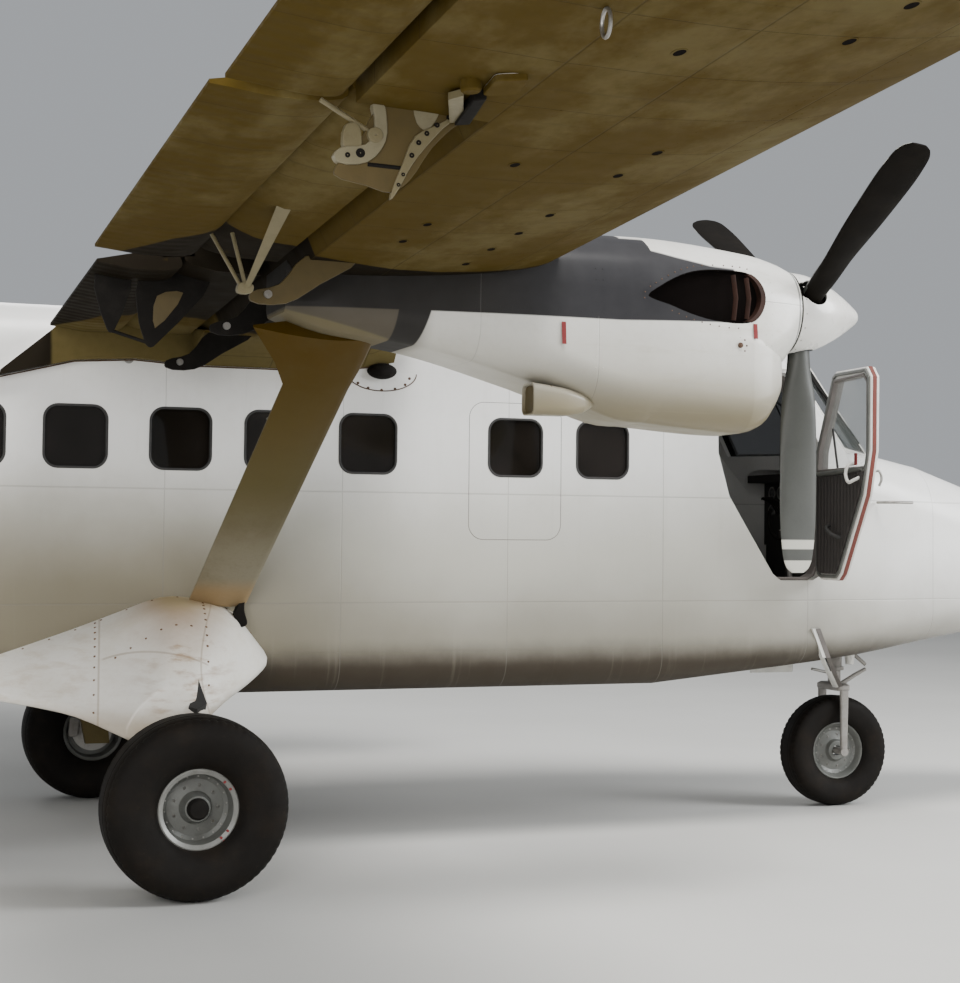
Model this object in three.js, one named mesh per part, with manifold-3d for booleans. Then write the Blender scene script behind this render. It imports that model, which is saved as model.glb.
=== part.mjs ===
// A high-wing, strut-braced, twin-turboprop utility aircraft on a fixed tricycle gear.
// Millimetres, +Z up, +X towards the nose, +Y towards the port side.
// Every x below is a station measured forward of the main wheel axle; the last lines
// move the whole aircraft so that the origin is on the ground under its middle.
import * as THREE from "three";
import { mergeVertices } from "three/addons/utils/BufferGeometryUtils.js";
import Module from "manifold-3d";

const wasm = await Module();
wasm.setup();

// Whole aircraft
const NOSE_TIP = 6480;
const TAIL_END = -9290;
const MID_STATION = (NOSE_TIP + TAIL_END) / 2;
const HEIGHT = 5940;
const GAP = 0.3;
const MOVING_GAP = 8;

// Fuselage
const BODY_HALF = 875;
const BELLY = 880;
const ROOF = 2950;
const WALL = 70;
const TAIL_WALL = 24;
const LOW_CORNER = 170;
const HIGH_CORNER = 250;
const CABIN_FRONT = 2900;
const CABIN_REAR = -2900;
const DECK_STATION = 4850;
const DECK = 2215;
const FLOOR_TOP = 1320;
const FLOOR_THICK = 40;
const ROOF_SPLIT = 2650;
const BELLY_SPLIT = 1100;

// Wing
const SEMI_SPAN = 9905;
const CHORD = 1980;
const WING_NOSE = 1366;
const WING_NOSE_Z = 2854;
const DIHEDRAL = Math.tan(THREE.MathUtils.degToRad(3));
const INCIDENCE = Math.tan(THREE.MathUtils.degToRad(2.5));
const FLAP_ROOT = 960;
const FLAP_BREAK_IN = 2740;
const FLAP_BREAK_OUT = 3060;
const AILERON_ROOT = 5560;
const AILERON_TIP = 9600;
const FLAP_END_GAP = 36;
const AILERON_GAP = 14;

// Engines and propellers
const ENGINE_Y = 2800;
const HUB = { x: 2665, z: 2840 };
const PROP_RADIUS = 1265;
const BLADE_PLANE = HUB.x + 80;
const BLADE_ANGLES = [180, 300, 60];
const SPINNER = { length: 410, radius: 202 };

// Wheels and gear
const WHEELBASE = 4530;
const HALF_TRACK = 1870;
const MAIN_TYRE = { radius: 440, width: 360, rim: 192 };
const NOSE_TYRE = { radius: 358, width: 225, rim: 185 };
const STEER_X = WHEELBASE + 10;

// Doors
const DOOR_HINGE_X = 3970;
const DOOR_OPEN_DEG = 87;
const DOOR_THICK = 60;

const paint = (color, roughness = 0.45, metalness = 0.05) =>
  new THREE.MeshStandardMaterial({ color, roughness, metalness });
const WHITE = () => paint(0xe4e2da);
const SHADE = () => paint(0xd3cfb8, 0.6);
const BLACK = () => paint(0x15171b, 0.5);
const STEEL = () => paint(0x8d8f90, 0.35, 0.8);
const RUBBER = () => paint(0x1a1a1b, 0.85, 0);
const GLASS = () => paint(0x2b3438, 0.08, 0);
const CLOTH = () => paint(0x4c5560, 0.9, 0);

// Port is +Y and starboard -Y
const SIDES = [["left", 1], ["right", -1]];

const aircraft = new THREE.Group();

function add(name, geometry, material) {
  const mesh = new THREE.Mesh(geometry, material);
  mesh.name = name;
  aircraft.add(mesh);
  return mesh;
}

// Solids: join, cut and turn
function toSolid(geometry) {
  const flat = geometry.index ? geometry.toNonIndexed() : geometry;
  const bare = new THREE.BufferGeometry().setAttribute("position", flat.getAttribute("position"));
  const merged = mergeVertices(bare, 1e-3);
  return new wasm.Manifold(
    new wasm.Mesh({
      numProp: 3,
      vertProperties: new Float32Array(merged.attributes.position.array),
      triVerts: new Uint32Array(merged.index.array),
    }),
  );
}

function toGeometry(solid) {
  const made = solid.getMesh();
  return new THREE.BufferGeometry()
    .setAttribute("position", new THREE.BufferAttribute(new Float32Array(made.vertProperties), 3))
    .setIndex(new THREE.BufferAttribute(new Uint32Array(made.triVerts), 1));
}

const join = (...parts) => toGeometry(parts.map(toSolid).reduce((a, b) => a.add(b)));
const cut = (part, ...tools) =>
  toGeometry(tools.map(toSolid).reduce((a, b) => a.subtract(b), toSolid(part)));
const meet = (a, b) => toGeometry(toSolid(a).intersect(toSolid(b)));
const moved = (geometry, x, y, z) => geometry.clone().translate(x, y, z);

function mirrored(geometry) {
  const flat = geometry.index ? geometry.toNonIndexed() : geometry.clone();
  const from = flat.getAttribute("position");
  const out = new Float32Array(from.count * 3);
  for (let i = 0; i < from.count; i += 1) {
    const turned = i % 3 === 1 ? i + 1 : i % 3 === 2 ? i - 1 : i;
    out.set([from.getX(i), -from.getY(i), from.getZ(i)], turned * 3);
  }
  return new THREE.BufferGeometry().setAttribute("position", new THREE.BufferAttribute(out, 3));
}

// A closed solid through rings of equally many points
function skin(rings) {
  const count = rings[0].length;
  const faces = [];
  for (let i = 0; i < rings.length - 1; i += 1)
    for (let k = 0; k < count; k += 1) {
      const next = (k + 1) % count;
      faces.push([rings[i][k], rings[i][next], rings[i + 1][next]]);
      faces.push([rings[i][k], rings[i + 1][next], rings[i + 1][k]]);
    }
  capFaces(rings[0]).forEach(([a, b, c]) => faces.push([a, c, b]));
  faces.push(...capFaces(rings[rings.length - 1]));
  const volume = faces.reduce((sum, [a, b, c]) => sum + a.dot(b.clone().cross(c)), 0);
  const spots = faces.flatMap(([a, b, c]) => (volume > 0 ? [a, b, c] : [a, c, b]));
  return new THREE.BufferGeometry().setFromPoints(spots);
}

// The flat face that closes a ring, its triangles turned the way the ring runs
function capFaces(ring) {
  const normal = new THREE.Vector3();
  ring.forEach((p, i) => {
    const q = ring[(i + 1) % ring.length];
    normal.add(p.clone().cross(q));
  });
  const size = normal.toArray().map(Math.abs);
  const drop = size.indexOf(Math.max(...size));
  const [u, v] = [0, 1, 2].filter((axis) => axis !== drop);
  const flat = ring.map((p) => new THREE.Vector2(p.getComponent(u), p.getComponent(v)));
  const way = Math.sign(THREE.ShapeUtils.area(flat));
  return THREE.ShapeUtils.triangulateShape(flat, []).map(([a, b, c]) => {
    const own = THREE.ShapeUtils.area([flat[a], flat[b], flat[c]]);
    return Math.sign(own) === way ? [ring[a], ring[b], ring[c]] : [ring[a], ring[c], ring[b]];
  });
}

// Outline of a rectangle with round corners: centre of each corner, its radius and first angle
function roundedOutline(left, right, low, high, lowRadius, highRadius, steps = 4) {
  const corners = [
    [right - lowRadius, low + lowRadius, lowRadius, -90],
    [right - highRadius, high - highRadius, highRadius, 0],
    [left + highRadius, high - highRadius, highRadius, 90],
    [left + lowRadius, low + lowRadius, lowRadius, 180],
  ];
  return corners.flatMap(([u, v, radius, first]) =>
    Array.from({ length: steps + 1 }, (_, i) => {
      const angle = THREE.MathUtils.degToRad(first + (90 * i) / steps);
      return [u + radius * Math.cos(angle), v + radius * Math.sin(angle)];
    }),
  );
}

const frameRing = ([x, half, low, high, lowRadius, highRadius], inset = 0, y = 0) =>
  roundedOutline(
    -half + inset, half - inset, low + inset, high - inset,
    Math.max(lowRadius - inset, 8), Math.max(highRadius - inset, 8),
  ).map(([u, v]) => new THREE.Vector3(x, u + y, v));
const hull = (rows, inset = 0, y = 0) => skin(rows.map((row) => frameRing(row, inset, y)));

// The section of a body at any station between two of its rows
function rowAt(rows, x) {
  const i = rows.findIndex(([station]) => station <= x);
  const [front, rear] = [rows[i - 1], rows[i]];
  const share = (x - rear[0]) / (front[0] - rear[0]);
  return rear.map((value, k) => value + (front[k] - value) * share);
}

const block = (x0, x1, y0, y1, z0, z1) =>
  new THREE.BoxGeometry(x1 - x0, y1 - y0, z1 - z0)
    .translate((x0 + x1) / 2, (y0 + y1) / 2, (z0 + z1) / 2);

// A prism whose outline lies in the x-z plane, between two values of y
const sidePrism = (outline, y0, y1) =>
  skin([y0, y1].map((y) => outline.map(([x, z]) => new THREE.Vector3(x, y, z))));

// A round bar between two points
function bar(from, to, radius, sides = 16) {
  const a = new THREE.Vector3(...from);
  const b = new THREE.Vector3(...to);
  const along = b.clone().sub(a);
  const turn = new THREE.Quaternion().setFromUnitVectors(
    new THREE.Vector3(0, 1, 0), along.clone().normalize(),
  );
  return new THREE.CylinderGeometry(radius, radius, along.length(), sides)
    .applyQuaternion(turn)
    .translate(...a.add(b).multiplyScalar(0.5).toArray());
}

// Fuselage sections: station, half width, bottom, top, low corner radius, high corner radius
const NOSE_ROWS = [
  [NOSE_TIP, 80, 1465, 1590, 60, 60],
  [6400, 245, 1350, 1735, 150, 190],
  [6200, 390, 1280, 1835, 200, 270],
  [5850, 520, 1220, 1935, 220, 310],
  [5350, 640, 1165, 2070, 220, 330],
  [DECK_STATION, 735, 1100, DECK, 200, 330],
];
const DECK_ROWS = [
  [DECK_STATION, 735, 1100, DECK, 200, 330],
  [4300, 825, 1020, 2285, 190, 250],
  [3700, BODY_HALF, 960, 2300, LOW_CORNER, 200],
  [CABIN_FRONT, BODY_HALF, BELLY, 2300, LOW_CORNER, 200],
];
const HIGH_ROWS = [
  [DECK_STATION, 735, 1100, ROOF - 70, 200, HIGH_CORNER],
  [4300, 825, 1020, ROOF - 40, 190, HIGH_CORNER],
  [3700, BODY_HALF, 960, ROOF, LOW_CORNER, HIGH_CORNER],
  [CABIN_FRONT, BODY_HALF, BELLY, ROOF, LOW_CORNER, HIGH_CORNER],
];
const cabinRow = (x) => [x, BODY_HALF, BELLY, ROOF, LOW_CORNER, HIGH_CORNER];
const TAIL_ROWS = [
  cabinRow(CABIN_REAR - GAP),
  [-3500, 845, 1000, ROOF - 5, LOW_CORNER, HIGH_CORNER],
  [-5200, 650, 1410, ROOF - 25, 160, 230],
  [-7000, 400, 1880, ROOF - 60, 130, 180],
  [-8300, 190, 2240, ROOF - 110, 90, 100],
  [-8620, 120, 2345, ROOF - 150, 60, 70],
];

// Windscreen: two flat planes that meet on the centre line
const SCREEN = { sweep: 670 / 830, slope: 500 / 660 };
const screenX = (y, z, back = 0) =>
  DECK_STATION - back - SCREEN.sweep * Math.abs(y) - SCREEN.slope * (z - DECK);
const screenPoint = (y, z, back = 0) => new THREE.Vector3(screenX(y, z, back), y, z);

function aheadOfScreen(back) {
  const reach = 1200;
  const [low, high] = [400, 3400];
  const outline = (z) => [
    screenPoint(0, z, back),
    screenPoint(-reach, z, back),
    new THREE.Vector3(9000, -reach, z),
    new THREE.Vector3(9000, reach, z),
    screenPoint(reach, z, back),
  ];
  return skin([outline(low), outline(high)]);
}

function cockpitForm(inset) {
  const start = (rows) => [[DECK_STATION - 2 * inset, ...rows[0].slice(1)], ...rows.slice(1)];
  const low = hull(start(DECK_ROWS), inset);
  const high = cut(hull(start(HIGH_ROWS), inset), aheadOfScreen(inset));
  return join(low, high);
}

const SCREEN_PANE = [
  [60, DECK + 90],
  [60, DECK + 645],
  [640, DECK + 615],
  [740, DECK + 90],
];
const screenPrism = (side, outer, inner, shrink = 0) => {
  const middle = { y: 380, z: DECK + 370 };
  const outline = (back) =>
    SCREEN_PANE.map(([y, z]) =>
      screenPoint(
        side * (y - Math.sign(y - middle.y) * shrink),
        z - Math.sign(z - middle.z) * shrink,
        back,
      ),
    );
  return skin([outline(outer), outline(inner)]);
};

// Cockpit door outline in x and z, closed
const DOOR_OUTLINE = [
  [3895, 1490],
  [3945, 1515],
  [DOOR_HINGE_X, 1575],
  [DOOR_HINGE_X, 2260],
  [3745, 2720],
  [3700, 2745],
  [3310, 2745],
  [3250, 2680],
  [3255, 2250],
  [3330, 1990],
  [3622, 1530],
  [3675, 1490],
];
const DOOR_WINDOW = [
  [3900, 2130],
  [3890, 2250],
  [3690, 2660],
  [3350, 2665],
  [3300, 2620],
  [3300, 2170],
  [3335, 2130],
];

// The outline drawn in towards its middle by a distance
function shrunk(outline, by) {
  const points = outline.map(([u, v]) => new THREE.Vector2(u, v));
  const way = Math.sign(THREE.ShapeUtils.area(points));
  return points.map((p, i) => {
    const before = points[(i + points.length - 1) % points.length];
    const after = points[(i + 1) % points.length];
    const a = p.clone().sub(before).normalize();
    const b = after.clone().sub(p).normalize();
    const inward = new THREE.Vector2(-a.y - b.y, a.x + b.x).multiplyScalar(way);
    const scale = (2 * by) / Math.max(inward.lengthSq(), 0.4);
    return [p.x + inward.x * scale, p.y + inward.y * scale];
  });
}

const windowOutline = (x, low = 2080, width = 326, height = 330, radius = 75) =>
  roundedOutline(x - width / 2, x + width / 2, low, low + height, radius, radius, 3);

// Windows of one cabin side by station; the exit's own window is in its panel
const WINDOW_STATIONS = [2510, 1108, 585, 80, -465, -980, -1490];
const EXIT = { x: 1973, width: 560, low: 1720, high: 2500, radius: 90 };
const exitOutline = roundedOutline(
  EXIT.x - EXIT.width / 2, EXIT.x + EXIT.width / 2, EXIT.low, EXIT.high, EXIT.radius, EXIT.radius, 3,
);
// Rear doors: rear edge, front edge, sill, top
const REAR_DOORS = {
  left: [-2780, -2020, FLOOR_TOP, 2590],
  right: [-2790, -2020, FLOOR_TOP, 2470],
};
const rearDoorOutline = ([rear, front, sill, top]) =>
  roundedOutline(rear, front, sill, top, 70, 110, 3);

// Port nose baggage door: a thin curved panel set in a shallow recess
const NOSE_DOOR = { rear: 5000, front: 5690, low: 1290, high: 1780, thick: 26, recess: 34 };

function nose() {
  const { rear, front, low, high, thick, recess } = NOSE_DOOR;
  const body = hull(NOSE_ROWS);
  const well = cut(block(rear, front, 300, 900, low, high), hull(NOSE_ROWS, recess));
  add("nose_shell", cut(body, well), WHITE());
  const room = block(
    rear + MOVING_GAP, front - MOVING_GAP, 300, 900, low + MOVING_GAP, high - MOVING_GAP,
  );
  add("nose_baggage_door", cut(meet(body, room), hull(NOSE_ROWS, thick)), WHITE());
}

function cockpit() {
  const shell = cut(
    cockpitForm(GAP / 2),
    cut(cockpitForm(WALL), block(0, CABIN_FRONT + GAP, -900, 900, 0, 4000)),
    block(0, CABIN_FRONT + GAP, -1200, 1200, 0, 4000),
    block(CABIN_FRONT, CABIN_FRONT + 40, -BODY_HALF + WALL, BODY_HALF - WALL, BELLY + WALL, ROOF - WALL),
    sidePrism(DOOR_OUTLINE, 500, 1200),
    sidePrism(DOOR_OUTLINE, -1200, -500),
    screenPrism(1, -60, 260),
    screenPrism(-1, -60, 260),
  );
  add("cockpit_shell", shell, WHITE());
  for (const [side, way] of SIDES) {
    add("windscreen_" + side, screenPrism(way, 30, 42, 0.5), GLASS());
    add("cockpit_door_" + side, cockpitDoor(way), WHITE());
    add("cockpit_door_glass_" + side, cockpitDoorGlass(way), GLASS());
  }
  add("instrument_panel", instrumentPanel(), BLACK());
  add("cockpit_seats", cockpitSeats(), CLOTH());
}

// The starboard door stands open about its front edge
function hung(geometry, way) {
  if (way > 0) return geometry;
  return geometry
    .translate(-DOOR_HINGE_X, BODY_HALF, 0)
    .rotateZ(THREE.MathUtils.degToRad(DOOR_OPEN_DEG))
    .translate(DOOR_HINGE_X, -BODY_HALF, 0);
}

function cockpitDoor(way) {
  const outline = shrunk(DOOR_OUTLINE, MOVING_GAP);
  const [inner, outer] = [BODY_HALF - DOOR_THICK, BODY_HALF + 40];
  const panel = meet(sidePrism(outline, way * inner, way * outer), hull(HIGH_ROWS, 1));
  return hung(cut(panel, sidePrism(DOOR_WINDOW, way * 600, way * 1100)), way);
}

function cockpitDoorGlass(way) {
  const outline = shrunk(DOOR_WINDOW, 0.5);
  return hung(sidePrism(outline, way * (BODY_HALF - 42), way * (BODY_HALF - 36)), way);
}

function instrumentPanel() {
  const board = block(4330, 4400, -600, 600, 1700, 2150);
  const hood = block(4200, 4400, -600, 600, 2120, 2170);
  const pedestal = block(4100, 4395, -130, 130, FLOOR_TOP + GAP, 1900);
  return join(board, hood, pedestal);
}

function seat(x, y, low = FLOOR_TOP + GAP) {
  const back = [[x - 250, low + 420], [x - 160, low + 420], [x - 260, low + 1120], [x - 340, low + 1120]];
  return join(
    block(x - 240, x + 230, y - 220, y + 220, low + 330, low + 430),
    sidePrism(back, y - 210, y + 210),
    block(x - 200, x - 150, y - 180, y + 180, low, low + 340),
    block(x + 150, x + 200, y - 180, y + 180, low, low + 340),
  );
}

function cockpitSeats() {
  const rail = block(3180, 3230, -560, 560, FLOOR_TOP + GAP, FLOOR_TOP + 30);
  return join(seat(3380, 400), seat(3380, -400), rail);
}

function cabinSeats() {
  const rows = [2300, 1530, 760, -10, -780, -1550];
  const rails = [-520, 520].map((y) => block(-1850, 2500, y - 15, y + 15, FLOOR_TOP + GAP, FLOOR_TOP + 25));
  const cross = block(200, 250, -520, 520, FLOOR_TOP + GAP, FLOOR_TOP + 25);
  return join(...rows.flatMap((x) => [seat(x, 530), seat(x, -530)]), ...rails, cross);
}

function cabin() {
  const rows = [cabinRow(CABIN_FRONT - GAP), cabinRow(CABIN_REAR)];
  const longer = [cabinRow(CABIN_FRONT + 100), cabinRow(CABIN_REAR - 100)];
  const tube = cut(hull(rows), hull(longer, WALL));
  const far = 1200;
  const low = BELLY_SPLIT + GAP;
  const high = ROOF_SPLIT - GAP;
  add("cabin_roof", meet(tube, block(-4000, 4000, -far, far, ROOF_SPLIT, 3400)), WHITE());
  add("cabin_belly", meet(tube, block(-4000, 4000, -far, far, 500, BELLY_SPLIT)), WHITE());
  for (const [side, way] of SIDES) {
    const [inner, outer] = way > 0 ? [0, far] : [-far, 0];
    const wall = meet(tube, block(-4000, 4000, inner, outer, low, high));
    const through = (outline) => sidePrism(outline, way * 700, way * far);
    const exit = way < 0 ? [through(exitOutline)] : [through(windowOutline(EXIT.x))];
    const openings = WINDOW_STATIONS.map((x) => through(windowOutline(x)));
    const door = through(rearDoorOutline(REAR_DOORS[side]));
    add("cabin_side_" + side, cut(wall, ...openings, ...exit, door), WHITE());
    const glassY = BODY_HALF - WALL - GAP;
    add("cabin_glass_" + side, glassStrip(way, glassY), GLASS());
    add("rear_door_" + side, rearDoor(way, REAR_DOORS[side]), WHITE());
  }
  const exitPanel = sidePrism(shrunk(exitOutline, 1.5), -BODY_HALF + WALL, -BODY_HALF);
  add("emergency_exit", cut(exitPanel, sidePrism(windowOutline(EXIT.x), -700, -far)), WHITE());
  add("cabin_floor", floorPanel(), STEEL());
  add("cabin_seats", cabinSeats(), CLOTH());
}

function glassStrip(way, glassY) {
  const outline = roundedOutline(-1690, 2660, 2040, 2450, 60, 60, 3);
  return sidePrism(outline, way * glassY, way * (glassY - 6));
}

function floorPanel() {
  const half = BODY_HALF - WALL - GAP;
  const rear = block(CABIN_REAR + 10, 3600, -half, half, FLOOR_TOP - FLOOR_THICK, FLOOR_TOP);
  const front = block(3590, 4500, -640, 640, FLOOR_TOP - FLOOR_THICK, FLOOR_TOP);
  return join(rear, front);
}

function rearDoor(way, door) {
  const outline = shrunk(rearDoorOutline(door), MOVING_GAP);
  const panel = sidePrism(outline, way * (BODY_HALF - DOOR_THICK), way * BODY_HALF);
  const middle = (door[0] + door[1]) / 2;
  const window = windowOutline(middle, 2090, 300, 300);
  const recess = sidePrism(window, way * (BODY_HALF - DOOR_THICK + 8), way * 1000);
  return cut(panel, recess);
}

function tail() {
  const outer = hull(TAIL_ROWS);
  const hollow = TAIL_ROWS.slice(0, -1).map((row, i) => (i ? row : [CABIN_REAR - 40, ...row.slice(1)]));
  const hatch = skin(
    [CABIN_REAR + 50, CABIN_REAR - 100].map((x) =>
      roundedOutline(-300, 300, FLOOR_TOP + 60, 2400, 60, 60, 3).map(
        ([y, z]) => new THREE.Vector3(x, y, z),
      ),
    ),
  );
  add("tail_cone", cut(outer, hull(hollow, TAIL_WALL), hatch), WHITE());
  add("fin", fin(), WHITE());
  add("rudder", rudder(), WHITE());
  add("tailplane", tailplane(), WHITE());
  add("elevator", elevator(), WHITE());
}

// Tail surfaces
const FIN = { rootNose: -6350, tipNose: -7480, hinge: -8390, root: 2830, tip: HEIGHT, half: 95, tipHalf: 55 };
const RUDDER = { low: 2420, tail: TAIL_END, tipTail: -9150 };
const TAILPLANE = { z: 3180, half: 3150, nose: -6930, hinge: -7850, tail: -8360, thick: 85 };
const ELEVATOR_AXIS = TAILPLANE.hinge - 69;

// A streamlined outline, nose at the first station: station along the chord, half thickness
function blade(nose, tail, half, blunt) {
  const shape = [[0, 0], [0.04, 0.5], [0.14, 0.85], [0.34, 1], [0.62, 0.8], [1, blunt]];
  const side = shape.map(([at, wide]) => [nose + (tail - nose) * at, half * wide]);
  return [...side, ...side.slice(1).reverse().map(([u, v]) => [u, -v])];
}
const upright = (z, nose, tail, half, blunt) =>
  blade(nose, tail, half, blunt).map(([x, y]) => new THREE.Vector3(x, y, z));
const level = (y, z, nose, tail, half, blunt) =>
  blade(nose, tail, half, blunt).map(([x, v]) => new THREE.Vector3(x, y, z + v));

function fin() {
  const form = skin([
    upright(FIN.root, FIN.rootNose, FIN.hinge, FIN.half, 0.55),
    upright(FIN.tip, FIN.tipNose, FIN.hinge, FIN.tipHalf, 0.55),
  ]);
  const seatOfTailplane = block(
    TAILPLANE.hinge - 2, TAILPLANE.nose + 15, -400, 400,
    TAILPLANE.z - TAILPLANE.thick - 2, TAILPLANE.z + TAILPLANE.thick + 2,
  );
  const tubeWay = bar([ELEVATOR_AXIS, -400, TAILPLANE.z], [ELEVATOR_AXIS, 400, TAILPLANE.z], 60);
  return cut(form, hull(TAIL_ROWS, -GAP), seatOfTailplane, tubeWay);
}

function rudder() {
  const nose = FIN.hinge - MOVING_GAP - 20;
  const turn = (z, half, tail) => {
    const flat = blade(nose, tail, half, 0.12);
    return flat.map(([x, y]) => new THREE.Vector3(x, y, z));
  };
  const tailAt = (z) => RUDDER.tail + ((RUDDER.tipTail - RUDDER.tail) * (z - RUDDER.low)) / (FIN.tip - RUDDER.low);
  const form = skin([turn(RUDDER.low, 52, tailAt(RUDDER.low)), turn(FIN.tip - 12, 34, tailAt(FIN.tip))]);
  const aboveCone = hull(
    [[-8200, 260, 2000, ROOF - 60, 60, 60], [-8700, 260, 2000, ROOF - 60, 60, 60]],
  );
  return cut(form, aboveCone);
}

function tailplane() {
  return skin(
    [-TAILPLANE.half, TAILPLANE.half].map((y) =>
      level(y, TAILPLANE.z, TAILPLANE.nose, TAILPLANE.hinge, TAILPLANE.thick, 0.6),
    ),
  );
}

function elevator() {
  const nose = TAILPLANE.hinge - MOVING_GAP - 16;
  const half = (way) =>
    skin(
      [way * 150, way * (TAILPLANE.half - 5)].map((y) =>
        level(y, TAILPLANE.z, nose, TAILPLANE.tail, 42, 0.15),
      ),
    );
  const tube = bar([ELEVATOR_AXIS, -200, TAILPLANE.z], [ELEVATOR_AXIS, 200, TAILPLANE.z], 30);
  return join(half(1), half(-1), tube);
}

// Wing section in fractions of the chord: along, above; top runs nose to tail
const WING_TOP = [[0, 0], [0.012, 0.028], [0.05, 0.06], [0.12, 0.086], [0.25, 0.102], [0.42, 0.098], [0.62, 0.072]];
const WING_LOW = [[0.6, -0.048], [0.4, -0.058], [0.15, -0.05], [0.04, -0.03], [0.01, -0.014]];
const SHROUD = [[0.79, 0.041], [0.795, 0.036], [0.66, 0.03], [0.625, 0.005]];
const wingPoint = (y, along, above) =>
  new THREE.Vector3(
    WING_NOSE - along * CHORD,
    y,
    WING_NOSE_Z + DIHEDRAL * Math.abs(y) - along * CHORD * INCIDENCE + above * CHORD,
  );
const wingRing = (y, outline) => outline.map(([along, above]) => wingPoint(y, along, above));
const FIXED_WITH_COVE = [...WING_TOP, ...SHROUD, ...WING_LOW];
const FIXED_FULL = [...WING_TOP, [0.812, 0.037], [0.81, -0.028], ...WING_LOW];
const spanwise = (outline, from, to) => skin([wingRing(from, outline), wingRing(to, outline)]);

function wing() {
  const inner = spanwise(FIXED_WITH_COVE, 1, AILERON_ROOT);
  const outer = spanwise(FIXED_FULL, AILERON_ROOT, AILERON_TIP);
  const tip = spanwise([...WING_TOP, [0.99, 0.006], [0.99, -0.002], ...WING_LOW], AILERON_TIP, SEMI_SPAN);
  const form = join(inner, outer, tip, rootFillet(), ...flapArms());
  return cut(form, hull([cabinRow(3200), cabinRow(-3200)], -GAP), cockpitForm(-GAP));
}

// The fillet under the wing root: station, height at the fuselage, reach along the wing and its height
const ROOT_FILLET = [
  [1250, 2700, 1060, 2850],
  [1000, 2655, 1250, 2815],
  [600, 2640, 1300, 2785],
  [120, 2640, 1300, 2785],
];
// Inboard of the flap the fillet runs on aft as a narrow fairing
const ROOT_TAIL = [
  [130, 2640], [-170, 2660], [-480, 2640], [-860, 2545], [-850, 2575], [-600, 2790], [-560, 2830], [130, 2860],
];
function rootFillet() {
  const wedge = skin(
    ROOT_FILLET.map(([x, low, reach, high]) =>
      [[800, low], [BODY_HALF, low], [reach, high], [800, high + 60]].map(([y, z]) => new THREE.Vector3(x, y, z)),
    ),
  );
  return join(wedge, sidePrism(ROOT_TAIL, 800, FLAP_ROOT - MOVING_GAP));
}

// Flap brackets hang below the wing at these places along the span
const ARM_PLACES = [1250, 2450, 3300];
const ARM_THICK = 24;
const ARM = [[0.5, -0.05], [0.61, -0.04], [0.665, -0.1], [0.725, -0.118], [0.725, -0.135], [0.65, -0.14], [0.58, -0.1]];
// The outer bracket hangs in the gap between the flap and the aileron: its own x and z
const OUTER_ARM = {
  from: AILERON_ROOT - 15,
  to: AILERON_ROOT + 5,
  outline: [
    [220, 3010], [90, 2985], [0, 2900], [-70, 2790], [-128, 2734], [-300, 2790], [-310, 2830], [-225, 2900],
    [-180, 3000], [-120, 3050], [220, 3070],
  ],
};
function flapArms() {
  const inner = ARM_PLACES.map((y) => spanwise(ARM, y - ARM_THICK / 2, y + ARM_THICK / 2));
  return [...inner, sidePrism(OUTER_ARM.outline, OUTER_ARM.from, OUTER_ARM.to)];
}

// One flap: a fore vane and a rear flap joined by a web, with a groove between them below
const FLAP_FORE = [[0.642, -0.03], [0.66, 0.012], [0.71, 0.026], [0.8, 0.026], [0.812, 0.01], [0.806, -0.002], [0.74, -0.022]];
const FLAP_WEB = [[0.79, 0.022], [0.86, 0.014], [0.86, 0.006], [0.79, 0.01]];
const flapRear = (tail) => [
  [0.818, -0.014], [0.822, 0.008], [0.84, 0.018], [0.9, 0.017], [tail, 0.001], [tail, -0.005], [0.9, -0.022],
];
const FLAP_TAIL = { inner: 1, outer: 1.026 };
const flap = (from, to, tail) =>
  join(spanwise(FLAP_FORE, from, to), spanwise(flapRear(tail), from, to), spanwise(FLAP_WEB, from, to));

const AILERON = [[0.825, 0.002], [0.832, 0.024], [0.86, 0.028], [1.008, 0.003], [1.008, -0.003], [0.86, -0.024], [0.832, -0.018]];

function wings() {
  const forms = {
    wing: [wing(), SHADE],
    flap_inner: [flap(FLAP_ROOT, FLAP_BREAK_IN, FLAP_TAIL.inner), SHADE],
    flap_outer: [flap(FLAP_BREAK_OUT, AILERON_ROOT - FLAP_END_GAP, FLAP_TAIL.outer), SHADE],
    aileron: [spanwise(AILERON, AILERON_ROOT + AILERON_GAP, AILERON_TIP - AILERON_GAP), SHADE],
    nacelle: [nacelle(), WHITE],
    engine: [engine(), STEEL],
    strut: [strut(), SHADE],
    gear_fairing: [gearFairing(), SHADE],
    main_axle: [mainAxle(), STEEL],
    tyre_main: [tyre(MAIN_TYRE, 0, HALF_TRACK, MAIN_TYRE.radius), RUBBER],
    wheel_main: [wheel(MAIN_TYRE, 0, HALF_TRACK, MAIN_TYRE.radius, 34), STEEL],
  };
  for (const [name, [geometry, material]] of Object.entries(forms)) {
    add(name + "_left", geometry, material());
    add(name + "_right", mirrored(geometry), material());
  }
}

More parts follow.
